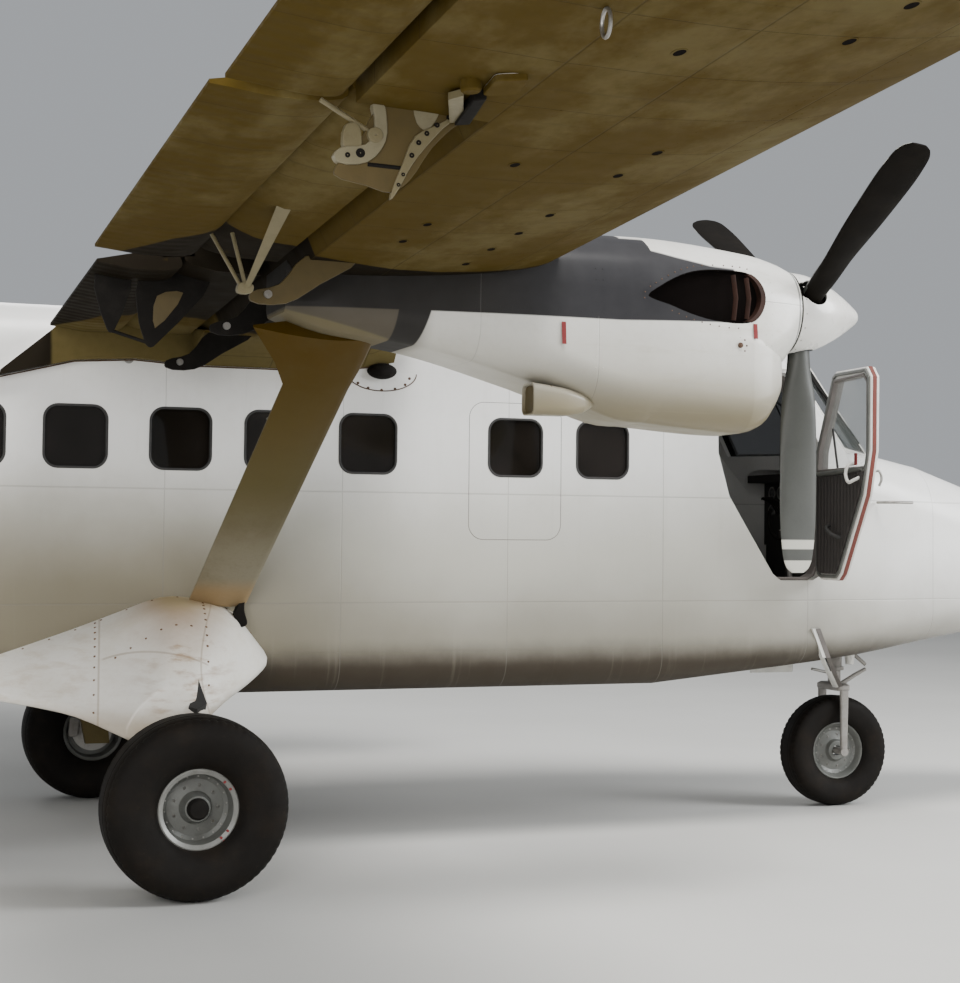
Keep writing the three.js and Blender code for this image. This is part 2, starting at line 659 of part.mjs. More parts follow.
// Nacelle sections, as the fuselage's, about the engine's own line: cowl, then the chin below it
const COWL_ROWS = [
  [2655, 203, 2637, 3043, 200, 200],
  [2570, 238, 2550, 3075, 200, 230],
  [2420, 275, 2460, 3108, 200, 255],
  [1800, 345, 2270, 3146, 190, 280],
  [1300, 345, 2430, 3130, 180, 255],
  [750, 300, 2575, 3045, 140, 150],
  [350, 250, 2630, 3000, 110, 120],
  [150, 200, 2700, 2960, 60, 60],
];
const CHIN_ROWS = [
  [2560, 175, 2435, 2620, 85, 85],
  [2530, 218, 2360, 2680, 120, 110],
  [2460, 262, 2275, 2750, 150, 120],
  [2350, 292, 2238, 2790, 160, 140],
  [1800, 345, 2265, 2900, 190, 200],
];
const COWL_WALL = 28;
const BAY = { front: 2560, rear: 1380 };
const INTAKE = { rear: 2450, half: 140, low: 2475, high: 2590, corner: 55 };
const SHAFT_WAY = 160;
const EXHAUST = { rear: 1770, front: 2420, low: 2735, high: 2995, corner: 128, depth: 200 };
const SCOOP = { rear: 1180, front: 1660, half: 95, low: 2225, high: 2420 };

function nacelle() {
  const bay = hull(
    [rowAt(COWL_ROWS, BAY.front), ...COWL_ROWS.slice(2, 4), rowAt(COWL_ROWS, BAY.rear)], COWL_WALL, ENGINE_Y,
  );
  const intake = skin(
    [INTAKE.rear, CHIN_ROWS[0][0] + 50].map((x) =>
      roundedOutline(
        ENGINE_Y - INTAKE.half, ENGINE_Y + INTAKE.half, INTAKE.low, INTAKE.high, INTAKE.corner, INTAKE.corner, 3,
      ).map(([y, z]) => new THREE.Vector3(x, y, z)),
    ),
  );
  const shaftWay = bar([BAY.front - 60, ENGINE_Y, HUB.z], [HUB.x, ENGINE_Y, HUB.z], SHAFT_WAY, 24);
  const oval = roundedOutline(
    EXHAUST.rear, EXHAUST.front, EXHAUST.low, EXHAUST.high, EXHAUST.corner, EXHAUST.corner,
  );
  const exhausts = [-1, 1].map((way) =>
    sidePrism(oval, ENGINE_Y + way * EXHAUST.depth, ENGINE_Y + way * 420),
  );
  const scoop = block(
    SCOOP.rear, SCOOP.front, ENGINE_Y - SCOOP.half, ENGINE_Y + SCOOP.half, SCOOP.low, SCOOP.high,
  );
  return cut(
    join(hull(COWL_ROWS, 0, ENGINE_Y), hull(CHIN_ROWS, 0, ENGINE_Y), scoop),
    bay, intake, shaftWay, ...exhausts, spanwise(shrunk(FIXED_WITH_COVE, -0.0003), 1, AILERON_ROOT),
  );
}

// The engine stands as one plain block with its shaft
const ENGINE = { rear: 1430, front: 2420, radius: 215, shaft: 60, drop: 15 };
function engine() {
  const z = HUB.z - ENGINE.drop;
  const core = bar([ENGINE.rear, ENGINE_Y, z], [ENGINE.front, ENGINE_Y, z], ENGINE.radius, 20);
  return join(core, bar([ENGINE.front - 40, ENGINE_Y, HUB.z], [HUB.x - 36, ENGINE_Y, HUB.z], ENGINE.shaft));
}

// The lift strut, from the gear fairing up to the underside of the nacelle: y, station, z, chord, half thickness
const STRUT_LEAN = { y: -0.55, z: 0.83 };
const STRUT_ROWS = [
  [930, 282, 1390, 310, 42],
  [2480, 413, 2426, 310, 42],
  [2800, 330, 2650, 560, 60],
];
function strut() {
  const form = skin(
    STRUT_ROWS.map(([y, station, z, chord, half]) =>
      blade(station + chord / 2, station - chord / 2, half, 0.1).map(
        ([x, v]) => new THREE.Vector3(x, y + STRUT_LEAN.y * v, z + STRUT_LEAN.z * v),
      ),
    ),
  );
  return cut(
    form, hull(COWL_ROWS, -GAP, ENGINE_Y), gearFairingForm(1), hull([cabinRow(1000), cabinRow(-1000)], -GAP),
  );
}

// Gear fairing: side outlines at places along the span, from the tail round over the top
const FAIRING_RINGS = [
  [712, [[-1300, 985], [-1300, 1030], [-500, 1270], [30, 1440], [350, 1390], [580, 1100], [500, 975], [250, 860], [-300, 845]]],
  [1050, [[-1000, 925], [-1000, 965], [-430, 1195], [0, 1400], [340, 1330], [540, 1070], [440, 965], [190, 830], [-340, 815]]],
  [1350, [[-550, 850], [-550, 890], [-330, 1060], [-20, 1265], [220, 1200], [325, 960], [245, 885], [110, 810], [-330, 770]]],
  [1600, [[-295, 745], [-295, 800], [-245, 890], [-120, 1000], [20, 985], [92, 880], [80, 800], [50, 720], [-200, 705]]],
];
const gearFairingForm = (grow) =>
  skin(
    FAIRING_RINGS.map(([y, outline]) =>
      shrunk(outline, -grow).map(([x, z]) => new THREE.Vector3(x, y, z)),
    ),
  );
const gearFairing = () => cut(gearFairingForm(0), hull([cabinRow(3000), cabinRow(-3000)], -GAP));

// Axle and the foot of the gear leg under the fairing
const LEG = { inner: 1540, outer: 1600, half: 75, foot: 55 };
const LEG_TOP = [[45, 700], [40, 780], [-150, 780], [-140, 700]];
function mainAxle() {
  const z = MAIN_TYRE.radius;
  const axle = bar([0, LEG.inner, z], [0, HALF_TRACK + 110, z], 30);
  const foot = [[-LEG.half, z - LEG.foot], [LEG.half, z - LEG.foot], ...LEG_TOP];
  return cut(join(axle, sidePrism(foot, LEG.inner, LEG.outer)), gearFairingForm(GAP));
}

// A tyre and its wheel, about an axle along y
function tyre({ radius, width, rim }, x, y, z) {
  const half = width / 2;
  const profile = [
    [rim, -half * 0.62], [rim + 28, -half * 0.9], [(rim + radius) / 2, -half], [radius - 55, -half * 0.86],
    [radius - 14, -half * 0.58], [radius, -half * 0.2],
  ];
  const ring = [...profile, ...profile.map(([r, w]) => [r, -w]).reverse()];
  return turned([...ring, ring[0]], x, y, z);
}

function wheel({ width, rim }, x, y, z, bore) {
  const half = width / 2;
  const edge = rim - GAP;
  const profile = [
    [bore, -half * 0.5], [70, -half * 0.5], [80, -18], [edge - 34, -18], [edge - 26, -half * 0.58],
    [edge, -half * 0.62], [edge, half * 0.62], [edge - 26, half * 0.58], [edge - 34, 18], [80, 18],
    [70, half * 0.5], [bore, half * 0.5],
  ];
  return turned([...profile, profile[0]], x, y, z);
}

const turned = (profile, x, y, z) =>
  new THREE.LatheGeometry(profile.map(([r, w]) => new THREE.Vector2(r, w)), 32).translate(x, y, z);

function noseGear() {
  const { radius, width } = NOSE_TYRE;
  const crown = radius * 2 + 40;
  const legs = [-1, 1].map((way) => {
    const y = way * (width / 2 + 32);
    return sidePrism(
      [[WHEELBASE - 40, radius - 40], [WHEELBASE + 40, radius - 40], [STEER_X + 45, crown], [STEER_X - 60, crown]],
      y - 14, y + 14,
    );
  });
  const bridge = block(STEER_X - 70, STEER_X + 60, -width / 2 - 46, width / 2 + 46, crown - 4, crown + 46);
  const stem = bar([STEER_X, 0, crown + 20], [STEER_X, 0, crown + 120], 42);
  const axle = bar([WHEELBASE, -width / 2 - 40, radius], [WHEELBASE, width / 2 + 40, radius], 24);
  add("nose_fork", join(...legs, bridge, stem, axle), STEEL());
  add("tyre_nose", tyre(NOSE_TYRE, WHEELBASE, 0, radius), RUBBER());
  add("wheel_nose", wheel(NOSE_TYRE, WHEELBASE, 0, radius, 30), STEEL());
  const leg = bar([STEER_X, 0, crown + 121], [STEER_X, 0, 1150], 58);
  const collar = bar([STEER_X, 0, 990], [STEER_X, 0, 1150], 90);
  const hullAbove = join(
    hull(NOSE_ROWS, -GAP), hull(DECK_ROWS, -GAP),
  );
  add("nose_leg", cut(join(leg, collar), hullAbove), STEEL());
}

// A propeller: hub and three feathered blades, under a spinner
const BLADE_ROWS = [
  [120, 50, 50, 0], [250, 58, 46, 0], [420, 77, 30, 12], [700, 79, 20, 3], [1000, 75, 14, -4],
  [1180, 58, 9, -8], [PROP_RADIUS, 28, 5, -9],
];
function propBlade(angle) {
  const ring = ([r, half, thick, twist]) =>
    Array.from({ length: 10 }, (_, i) => {
      const around = (i / 10) * 2 * Math.PI;
      const turn = THREE.MathUtils.degToRad(twist);
      const [u, v] = [half * Math.cos(around), thick * Math.sin(around)];
      return new THREE.Vector3(
        u * Math.cos(turn) - v * Math.sin(turn), u * Math.sin(turn) + v * Math.cos(turn), r,
      );
    });
  return skin(BLADE_ROWS.map(ring)).rotateX(-THREE.MathUtils.degToRad(angle)).translate(BLADE_PLANE, 0, HUB.z);
}

function propellers() {
  const blades = BLADE_ANGLES.map(propBlade);
  const core = bar([HUB.x - 30, 0, HUB.z], [BLADE_PLANE + 90, 0, HUB.z], 130, 20);
  const screw = join(core, ...blades);
  const profile = [[0, 0], [0.42, 60], [0.76, 160], [0.95, 280], [1, SPINNER.length]];
  const cone = (inset, tail) => {
    const side = profile.map(([wide, d]) => [
      Math.max(wide * SPINNER.radius - inset, 0), d + (wide ? 0 : inset * 1.5),
    ]);
    const shape = [...side, [SPINNER.radius - inset, SPINNER.length + tail], [0, SPINNER.length + tail]];
    return new THREE.LatheGeometry(shape.reverse().map(([r, d]) => new THREE.Vector2(r, -d)), 28)
      .rotateZ(-Math.PI / 2)
      .translate(HUB.x + SPINNER.length, 0, HUB.z);
  };
  const rootWays = BLADE_ANGLES.map((angle) =>
    new THREE.CylinderGeometry(72, 72, 220, 16)
      .rotateX(Math.PI / 2)
      .translate(0, 0, 190)
      .rotateX(-THREE.MathUtils.degToRad(angle))
      .translate(BLADE_PLANE, 0, HUB.z),
  );
  const spinner = cut(cone(0, 0), cone(8, 10), ...rootWays);
  for (const [side, way] of SIDES) {
    add("propeller_" + side, moved(screw, 0, way * ENGINE_Y, 0), BLACK());
    add("spinner_" + side, moved(spinner, 0, way * ENGINE_Y, 0), WHITE());
  }
}

nose();
cockpit();
cabin();
tail();
wings();
noseGear();
propellers();
aircraft.position.x = -MID_STATION;

export default aircraft;
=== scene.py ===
"""Looks of a high-wing, strut-braced twin-turboprop aircraft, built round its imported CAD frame.

Lengths are metres. In the tables x is a station ahead of the main wheel axle; MID moves it to the row frame.
"""
import math

import bmesh
import bpy
import numpy as np
from mathutils import Matrix, Vector


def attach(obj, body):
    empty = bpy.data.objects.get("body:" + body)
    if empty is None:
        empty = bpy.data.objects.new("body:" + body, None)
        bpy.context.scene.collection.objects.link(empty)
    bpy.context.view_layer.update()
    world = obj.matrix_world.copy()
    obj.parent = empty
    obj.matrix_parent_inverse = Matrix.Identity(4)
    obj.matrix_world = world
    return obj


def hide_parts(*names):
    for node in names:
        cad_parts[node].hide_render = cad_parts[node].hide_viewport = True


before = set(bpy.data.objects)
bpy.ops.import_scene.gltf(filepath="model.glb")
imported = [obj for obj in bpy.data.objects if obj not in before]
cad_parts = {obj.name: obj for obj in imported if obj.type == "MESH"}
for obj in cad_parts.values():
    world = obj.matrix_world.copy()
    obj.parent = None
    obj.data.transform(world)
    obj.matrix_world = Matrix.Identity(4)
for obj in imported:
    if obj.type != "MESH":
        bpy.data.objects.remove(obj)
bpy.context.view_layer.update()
MID = 1.405
SIDES = (("left", 1), ("right", -1))

# Fuselage
HALF = 0.875
BELLY = 0.88
ROOF = 2.95
CABIN_FRONT = 2.9
CABIN_REAR = -2.9
DECK_X = 4.85
DECK_Z = 2.215
WALL = 0.07
FLOOR_Z = 1.32
ROOF_SPLIT = 2.65
BELLY_SPLIT = 1.1
CABIN_CORNERS = (0.17, 0.25)
GAP = 0.0003
FRAME_PITCH = 0.483

# Wing
CHORD = 1.98
WING_NOSE = 1.366
WING_NOSE_Z = 2.854
DIHEDRAL = math.tan(math.radians(3))
INCIDENCE = math.tan(math.radians(2.5))
SEMI_SPAN = 9.905
FLAP_ROOT = 0.96
FLAP_BREAK = (2.74, 3.06)
AILERON_ROOT = 5.56
AILERON_TIP = 9.6

# Engines, wheels and doors
ENGINE_Y = 2.8
HUB_X = 2.665
HUB_Z = 2.84
PROP_RADIUS = 1.265
BLADE_PLANE = HUB_X + 0.08
BLADE_ANGLES = (180, 300, 60)
HALF_TRACK = 1.87
MAIN_R = 0.44
NOSE_R = 0.358
WHEELBASE = 4.53
STEER_X = 4.54
DOOR_HINGE = 3.97
DOOR_OPEN = math.radians(87)


# Curves and sections

def turns(count, first=0.0):
    """Angles evenly round a full turn."""
    return np.linspace(first, first + 2 * math.pi, count, endpoint=False)


def circle(u, v, radius, count, first=0.0, other=None):
    """Points evenly round a circle, or round an ellipse whose other radius runs along v."""
    other = radius if other is None else other
    return [(u + radius * math.cos(a), v + other * math.sin(a)) for a in turns(count, first)]


def part_way(ends, t):
    """The value a share of the way from the first end to the second."""
    return ends[0] + (ends[1] - ends[0]) * t


def monotone(xs, rows, at):
    """Rows of numbers drawn through rising xs by a cubic that never overshoots, read at each place."""
    xs, rows, at = np.asarray(xs, float), np.asarray(rows, float), np.asarray(at, float)
    step = np.diff(xs)[:, None]
    slope = np.diff(rows, axis=0) / step
    tangent = np.vstack([slope[:1], np.zeros_like(slope[1:]), slope[-1:]])
    before, after = slope[:-1], slope[1:]
    same = before * after > 0
    tangent[1:-1][same] = (2 * before * after)[same] / (before + after)[same]
    k = np.clip(np.searchsorted(xs, at, side="right") - 1, 0, len(xs) - 2)
    h = step[k]
    t = ((at - xs[k])[:, None]) / h
    return (
        rows[k] * (1 + 2 * t) * (1 - t) ** 2
        + tangent[k] * h * t * (1 - t) ** 2
        + rows[k + 1] * t * t * (3 - 2 * t)
        + tangent[k + 1] * h * t * t * (t - 1)
    )


def spline(points, per, closed=False):
    """A centripetal Catmull-Rom curve through the points, per of its own to each gap."""
    p = [np.asarray(q, float) for q in points]
    count = len(p)
    out = []
    for i in range(count if closed else count - 1):
        if closed:
            a, b, c, d = (p[(i + k) % count] for k in (-1, 0, 1, 2))
        else:
            b, c = p[i], p[i + 1]
            a = p[i - 1] if i else 2 * b - c
            d = p[i + 2] if i + 2 < count else 2 * c - b
        t = [0.0]
        for q, r in ((a, b), (b, c), (c, d)):
            t.append(t[-1] + max(np.linalg.norm(r - q), 1e-6) ** 0.5)
        for s in np.linspace(t[1], t[2], per, endpoint=False):
            first = [q + (r - q) * (s - u) / (v - u) for q, r, u, v in
                     ((a, b, t[0], t[1]), (b, c, t[1], t[2]), (c, d, t[2], t[3]))]
            left = first[0] + (first[1] - first[0]) * (s - t[0]) / (t[2] - t[0])
            right = first[1] + (first[2] - first[1]) * (s - t[1]) / (t[3] - t[1])
            out.append(left + (right - left) * (s - t[1]) / (t[2] - t[1]))
    if not closed:
        out.append(p[-1])
    return [tuple(q) for q in out]


def rounded(left, right, low, high, low_r, high_r, steps=9):
    """Outline of a rectangle with round corners."""
    corners = (
        (right - low_r, low + low_r, low_r, -90),
        (right - high_r, high - high_r, high_r, 0),
        (left + high_r, high - high_r, high_r, 90),
        (left + low_r, low + low_r, low_r, 180),
    )
    out = []
    for u, v, r, first in corners:
        for i in range(steps + 1):
            a = math.radians(first + 90 * i / steps)
            out.append((u + r * math.cos(a), v + r * math.sin(a)))
    return out


def window_outline(x, low=2.08, width=0.326, height=0.33):
    return rounded(x - width / 2, x + width / 2, low, low + height, 0.075, 0.075)


def offset(outline, by):
    """A closed outline moved outwards by a distance."""
    p = np.asarray(outline, float)
    following = np.roll(p, -1, axis=0)
    area = np.sum(p[:, 0] * following[:, 1] - following[:, 0] * p[:, 1])
    way = 1 if area > 0 else -1
    edge = following - p
    edge /= np.maximum(np.linalg.norm(edge, axis=1), 1e-9)[:, None]
    normal = np.stack([edge[:, 1], -edge[:, 0]], axis=1) * way
    bisector = normal + np.roll(normal, 1, axis=0)
    scale = 2 * by / np.maximum(np.sum(bisector * bisector, axis=1), 0.4)
    return [tuple(q) for q in p + bisector * scale[:, None]]


# Shapes: each is a pair (vertices, faces)

def loft(rings, wrap=False):
    """A closed solid through rings of equally many points."""
    count = len(rings[0])
    verts = [tuple(p) for ring in rings for p in ring]
    faces = []
    last = len(rings) if wrap else len(rings) - 1
    for i in range(last):
        a, b = i * count, ((i + 1) % len(rings)) * count
        faces += [(a + k, a + (k + 1) % count, b + (k + 1) % count, b + k) for k in range(count)]
    if not wrap:
        faces.append(tuple(range(count))[::-1])
        faces.append(tuple(range(last * count, (last + 1) * count)))
    return verts, faces


def together(*shapes):
    verts, faces = [], []
    for v, f in shapes:
        start = len(verts)
        verts += list(v)
        faces += [tuple(i + start for i in face) for face in f]
    return verts, faces


def flipped(shape):
    verts, faces = shape
    return [(x, -y, z) for x, y, z in verts], [tuple(reversed(f)) for f in faces]


def both(shape):
    return together(shape, flipped(shape))


def side_prism(outline, y0, y1):
    return loft([[(x, y, z) for x, z in outline] for y in (y0, y1)])


def box(x0, x1, y0, y1, z0, z1):
    return side_prism([(x0, z0), (x1, z0), (x1, z1), (x0, z1)], y0, y1)


def body(rows, count, inset=0.0, y=0.0):
    """A smooth solid through rows of station, half width, low, high, low corner, high corner."""
    rows = sorted(rows)
    xs = [r[0] for r in rows]
    ends = np.linspace(xs[0], xs[-1], count)
    at = sorted(set(np.round(np.concatenate([ends, xs]), 5)))
    rings = []
    for x, (h, lo, hi, lr, hr) in zip(at, monotone(xs, [r[1:] for r in rows], at)):
        corners = max(lr - inset, 0.006), max(hr - inset, 0.006)
        line = rounded(-h + inset, h - inset, lo + inset, hi - inset, *corners)
        rings.append([(x, u + y, v) for u, v in line])
    return loft(rings)


def half_width(rows, x, z):
    """Half width at a station and height of a body drawn through rows."""
    rows = sorted(rows)
    half, low, high, low_r, high_r = monotone([r[0] for r in rows], [r[1:] for r in rows], [x])[0]
    if z > high - high_r:
        return half - high_r + math.sqrt(max(high_r ** 2 - (z - high + high_r) ** 2, 0))
    if z < low + low_r:
        return half - low_r + math.sqrt(max(low_r ** 2 - (low + low_r - z) ** 2, 0))
    return half


def frame_of(direction):
    """Two axes square to a direction, and the direction."""
    z = Vector(direction).normalized()
    x = z.orthogonal().normalized()
    return np.array([x, z.cross(x), z])


def tube(path, radius, sides=12, flat=1.0):
    """A closed round or oval bar along a path."""
    points = [np.asarray(p, float) for p in path]
    rings = []
    axes = None
    for i, p in enumerate(points):
        ahead = points[min(i + 1, len(points) - 1)] - points[max(i - 1, 0)]
        if axes is None:
            axes = frame_of(ahead)
        else:
            z = ahead / np.linalg.norm(ahead)
            x = axes[0] - z * np.dot(axes[0], z)
            x /= np.linalg.norm(x)
            axes = np.array([x, np.cross(z, x), z])
        r = radius[i] if hasattr(radius, "__len__") else radius
        rings.append([tuple(p + r * (u * axes[0] + flat * v * axes[1])) for u, v in circle(0, 0, 1, sides)])
    return loft(rings)


def lathe(profile, centre, steps, axis="y"):
    """A ring or disc turned about an axle; the profile's pairs are a radius and a place along the axle."""
    rings = []
    for k in range(steps):
        a = 2 * math.pi * k / steps
        ring = []
        for r, w in profile:
            u, v = r * math.cos(a), r * math.sin(a)
            point = {"y": (u, w, v), "x": (w, u, v), "z": (u, v, w)}[axis]
            ring.append(tuple(c + q for c, q in zip(centre, point)))
        rings.append(ring)
    return loft(rings, wrap=True)


def disc(x, y, z, radius, half, steps=16):
    """A disc across the aircraft, with a bore too small to see."""
    bore = 0.002
    return lathe([(bore, -half), (radius, -half), (radius, half), (bore, half)], (x, y, z), steps)


def domes(points, normals, radius, height=0.45, sides=7, levels=2):
    """Many round heads, each on its point; normals is a list with one for each, or one tuple for all."""
    if isinstance(normals, tuple):
        normals = [normals] * len(points)
    sunk = 0.0004
    verts, faces = [], []
    for p, n in zip(points, normals):
        axes = frame_of(n)
        start = len(verts)
        for level in range(levels):
            t = level / levels * math.pi / 2
            r, h = radius * math.cos(t), radius * height * math.sin(t)
            for k in range(sides):
                a = 2 * math.pi * k / sides
                out = r * (math.cos(a) * axes[0] + math.sin(a) * axes[1])
                verts.append(tuple(np.asarray(p) + out + (h - sunk) * axes[2]))
        verts.append(tuple(np.asarray(p) + radius * height * axes[2]))
        top = len(verts) - 1
        for level in range(levels - 1):
            a, b = start + level * sides, start + (level + 1) * sides
            faces += [(a + k, a + (k + 1) % sides, b + (k + 1) % sides, b + k) for k in range(sides)]
        a = start + (levels - 1) * sides
        faces += [(a + k, a + (k + 1) % sides, top) for k in range(sides)]
        faces.append(tuple(range(start, start + sides))[::-1])
    return verts, faces


def rim(outline, place, outer, inner, low, high):
    """A strip round a closed outline; place turns (u, v, height) into a point."""
    grown, drawn = offset(outline, outer), offset(outline, -inner)
    return loft([
        [place(u, v, h) for u, v in line]
        for line, h in ((grown, low), (grown, high), (drawn, high), (drawn, low))
    ], wrap=True)


def slab(outline, place, low, high):
    """A plate of an outline between two heights over its own plane."""
    return loft([[place(u, v, h) for u, v in outline] for h in (low, high)])


def side_place(way):
    """A side's plane as (station, height, distance out of it)."""
    return lambda x, z, h: (x, way * (HALF + h), z)


def upright_pins(place, x, heights, half, out, radius):
    return together(*[tube([place(x, z - half, out), place(x, z + half, out)], radius) for z in heights])


def spaced(a, b, pitch):
    """Points evenly between two ends, half a space from each."""
    a, b = np.asarray(a, float), np.asarray(b, float)
    count = max(int(np.linalg.norm(b - a) / pitch), 1)
    return [tuple(a + (b - a) * (i + 0.5) / count) for i in range(count)]


def along_outline(outline, pitch):
    """Points along a closed outline's edges, leaving out its short ones."""
    edges = zip(outline, [*outline[1:], outline[0]])
    return [q for a, b in edges if math.dist(a, b) > pitch * 0.6 for q in spaced(a, b, pitch)]


# Objects

def to_mesh(name, shape):
    verts, faces = shape
    mesh = bpy.data.meshes.new(name)
    mesh.from_pydata([(x + MID, y, z) for x, y, z in verts], [], faces)
    bm = bmesh.new()
    bm.from_mesh(mesh)
    bmesh.ops.remove_doubles(bm, verts=bm.verts, dist=1e-5)
    bmesh.ops.dissolve_degenerate(bm, edges=bm.edges, dist=1e-6)
    bmesh.ops.recalc_face_normals(bm, faces=bm.faces)
    bm.to_mesh(mesh)
    bm.free()
    return mesh


def linked(name, data):
    obj = bpy.data.objects.new(name, data)
    bpy.context.scene.collection.objects.link(obj)
    return obj


def to_object(name, shape):
    """An object of a shape; one that is an object already stays as it is."""
    return shape if isinstance(shape, bpy.types.Object) else linked(name, to_mesh(name, shape))


def evaluated(obj):
    """The object's mesh with its modifiers applied."""
    graph = bpy.context.evaluated_depsgraph_get()
    graph.update()
    mesh = bpy.data.meshes.new_from_object(obj.evaluated_get(graph))
    old = obj.data
    obj.modifiers.clear()
    obj.data = mesh
    bpy.data.meshes.remove(old)


def combined(obj, steps):
    """Joins to, or cuts from, an object a list of (operation, shape or object)."""
    tools = []
    for operation, shape in steps:
        tool = to_object("tool", shape)
        tools.append(tool)
        change = obj.modifiers.new("change", "BOOLEAN")
        change.operation = operation
        change.solver = "EXACT"
        change.object = tool
    evaluated(obj)
    for tool in tools:
        bpy.data.objects.remove(tool)
    return obj


def cut(shape, *tools):
    return combined(to_object("form", shape), [("DIFFERENCE", t) for t in tools])


def painted(mesh, *materials):
    mesh.materials.clear()
    for key in materials:
        mesh.materials.append(MATERIALS[key])


def finished(obj, name, material, carrier="airframe", slot=None, replaces=(), bevel=0.0, angle=32):
    """Names a piece, smooths it, and gives it its materials and the body that it rides on."""
    mesh = obj.data
    obj.name = mesh.name = name
    painted(mesh, *([material] if isinstance(material, str) else material))
    mesh.shade_smooth()
    mesh.set_sharp_from_angle(angle=math.radians(angle))
    if bevel:
        edge = obj.modifiers.new("edge", "BEVEL")
        edge.width = bevel
        edge.segments = 2
        edge.limit_method = "ANGLE"
        edge.angle_limit = math.radians(38)
        edge.use_clamp_overlap = True
        edge.harden_normals = False
    even = obj.modifiers.new("even", "WEIGHTED_NORMAL")
    even.keep_sharp = True
    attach(obj, carrier)
    if replaces:
        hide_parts(*replaces)
    return obj


def piece(name, shape, material, carrier="airframe", **more):
    return finished(to_object(name, shape), name, material, carrier, **more)


def white_skin(name, shape, node, carrier="airframe", material="fuselage", **more):
    """A painted skin that takes the place of one CAD node."""
    return piece(name, shape, material, carrier, slot="white_paint", replaces=[node], **more)


def pair(name, shape, material, carrier="airframe", replaces=(), **more):
    """A port piece and its starboard twin. The side's name goes into a {} in a carrier or node."""
    obj = to_object(name, shape)
    mesh = obj.data.copy()
    mesh.transform(Matrix.Diagonal((1, -1, 1, 1)))
    mesh.flip_normals()
    for side, form in (("right", linked(name, mesh)), ("left", obj)):
        nodes = [node.format(side) for node in replaces]
        finished(form, f"{name}_{side}", material, carrier.format(side), replaces=nodes, **more)


# Materials

class Value:
    """A node's output within one paint. It adds, subtracts and multiplies as a number does."""

    def __init__(self, paint, socket):
        self.paint, self.socket = paint, socket

    def __add__(self, other):
        return self.paint.math("ADD", self, other)

    def __sub__(self, other):
        return self.paint.math("SUBTRACT", self, other)

    def __rsub__(self, other):
        return self.paint.math("SUBTRACT", other, self)

    def __mul__(self, other):
        return self.paint.math("MULTIPLY", self, other)

    def __abs__(self):
        return self.paint.math("ABSOLUTE", self)

    __radd__, __rmul__ = __add__, __mul__


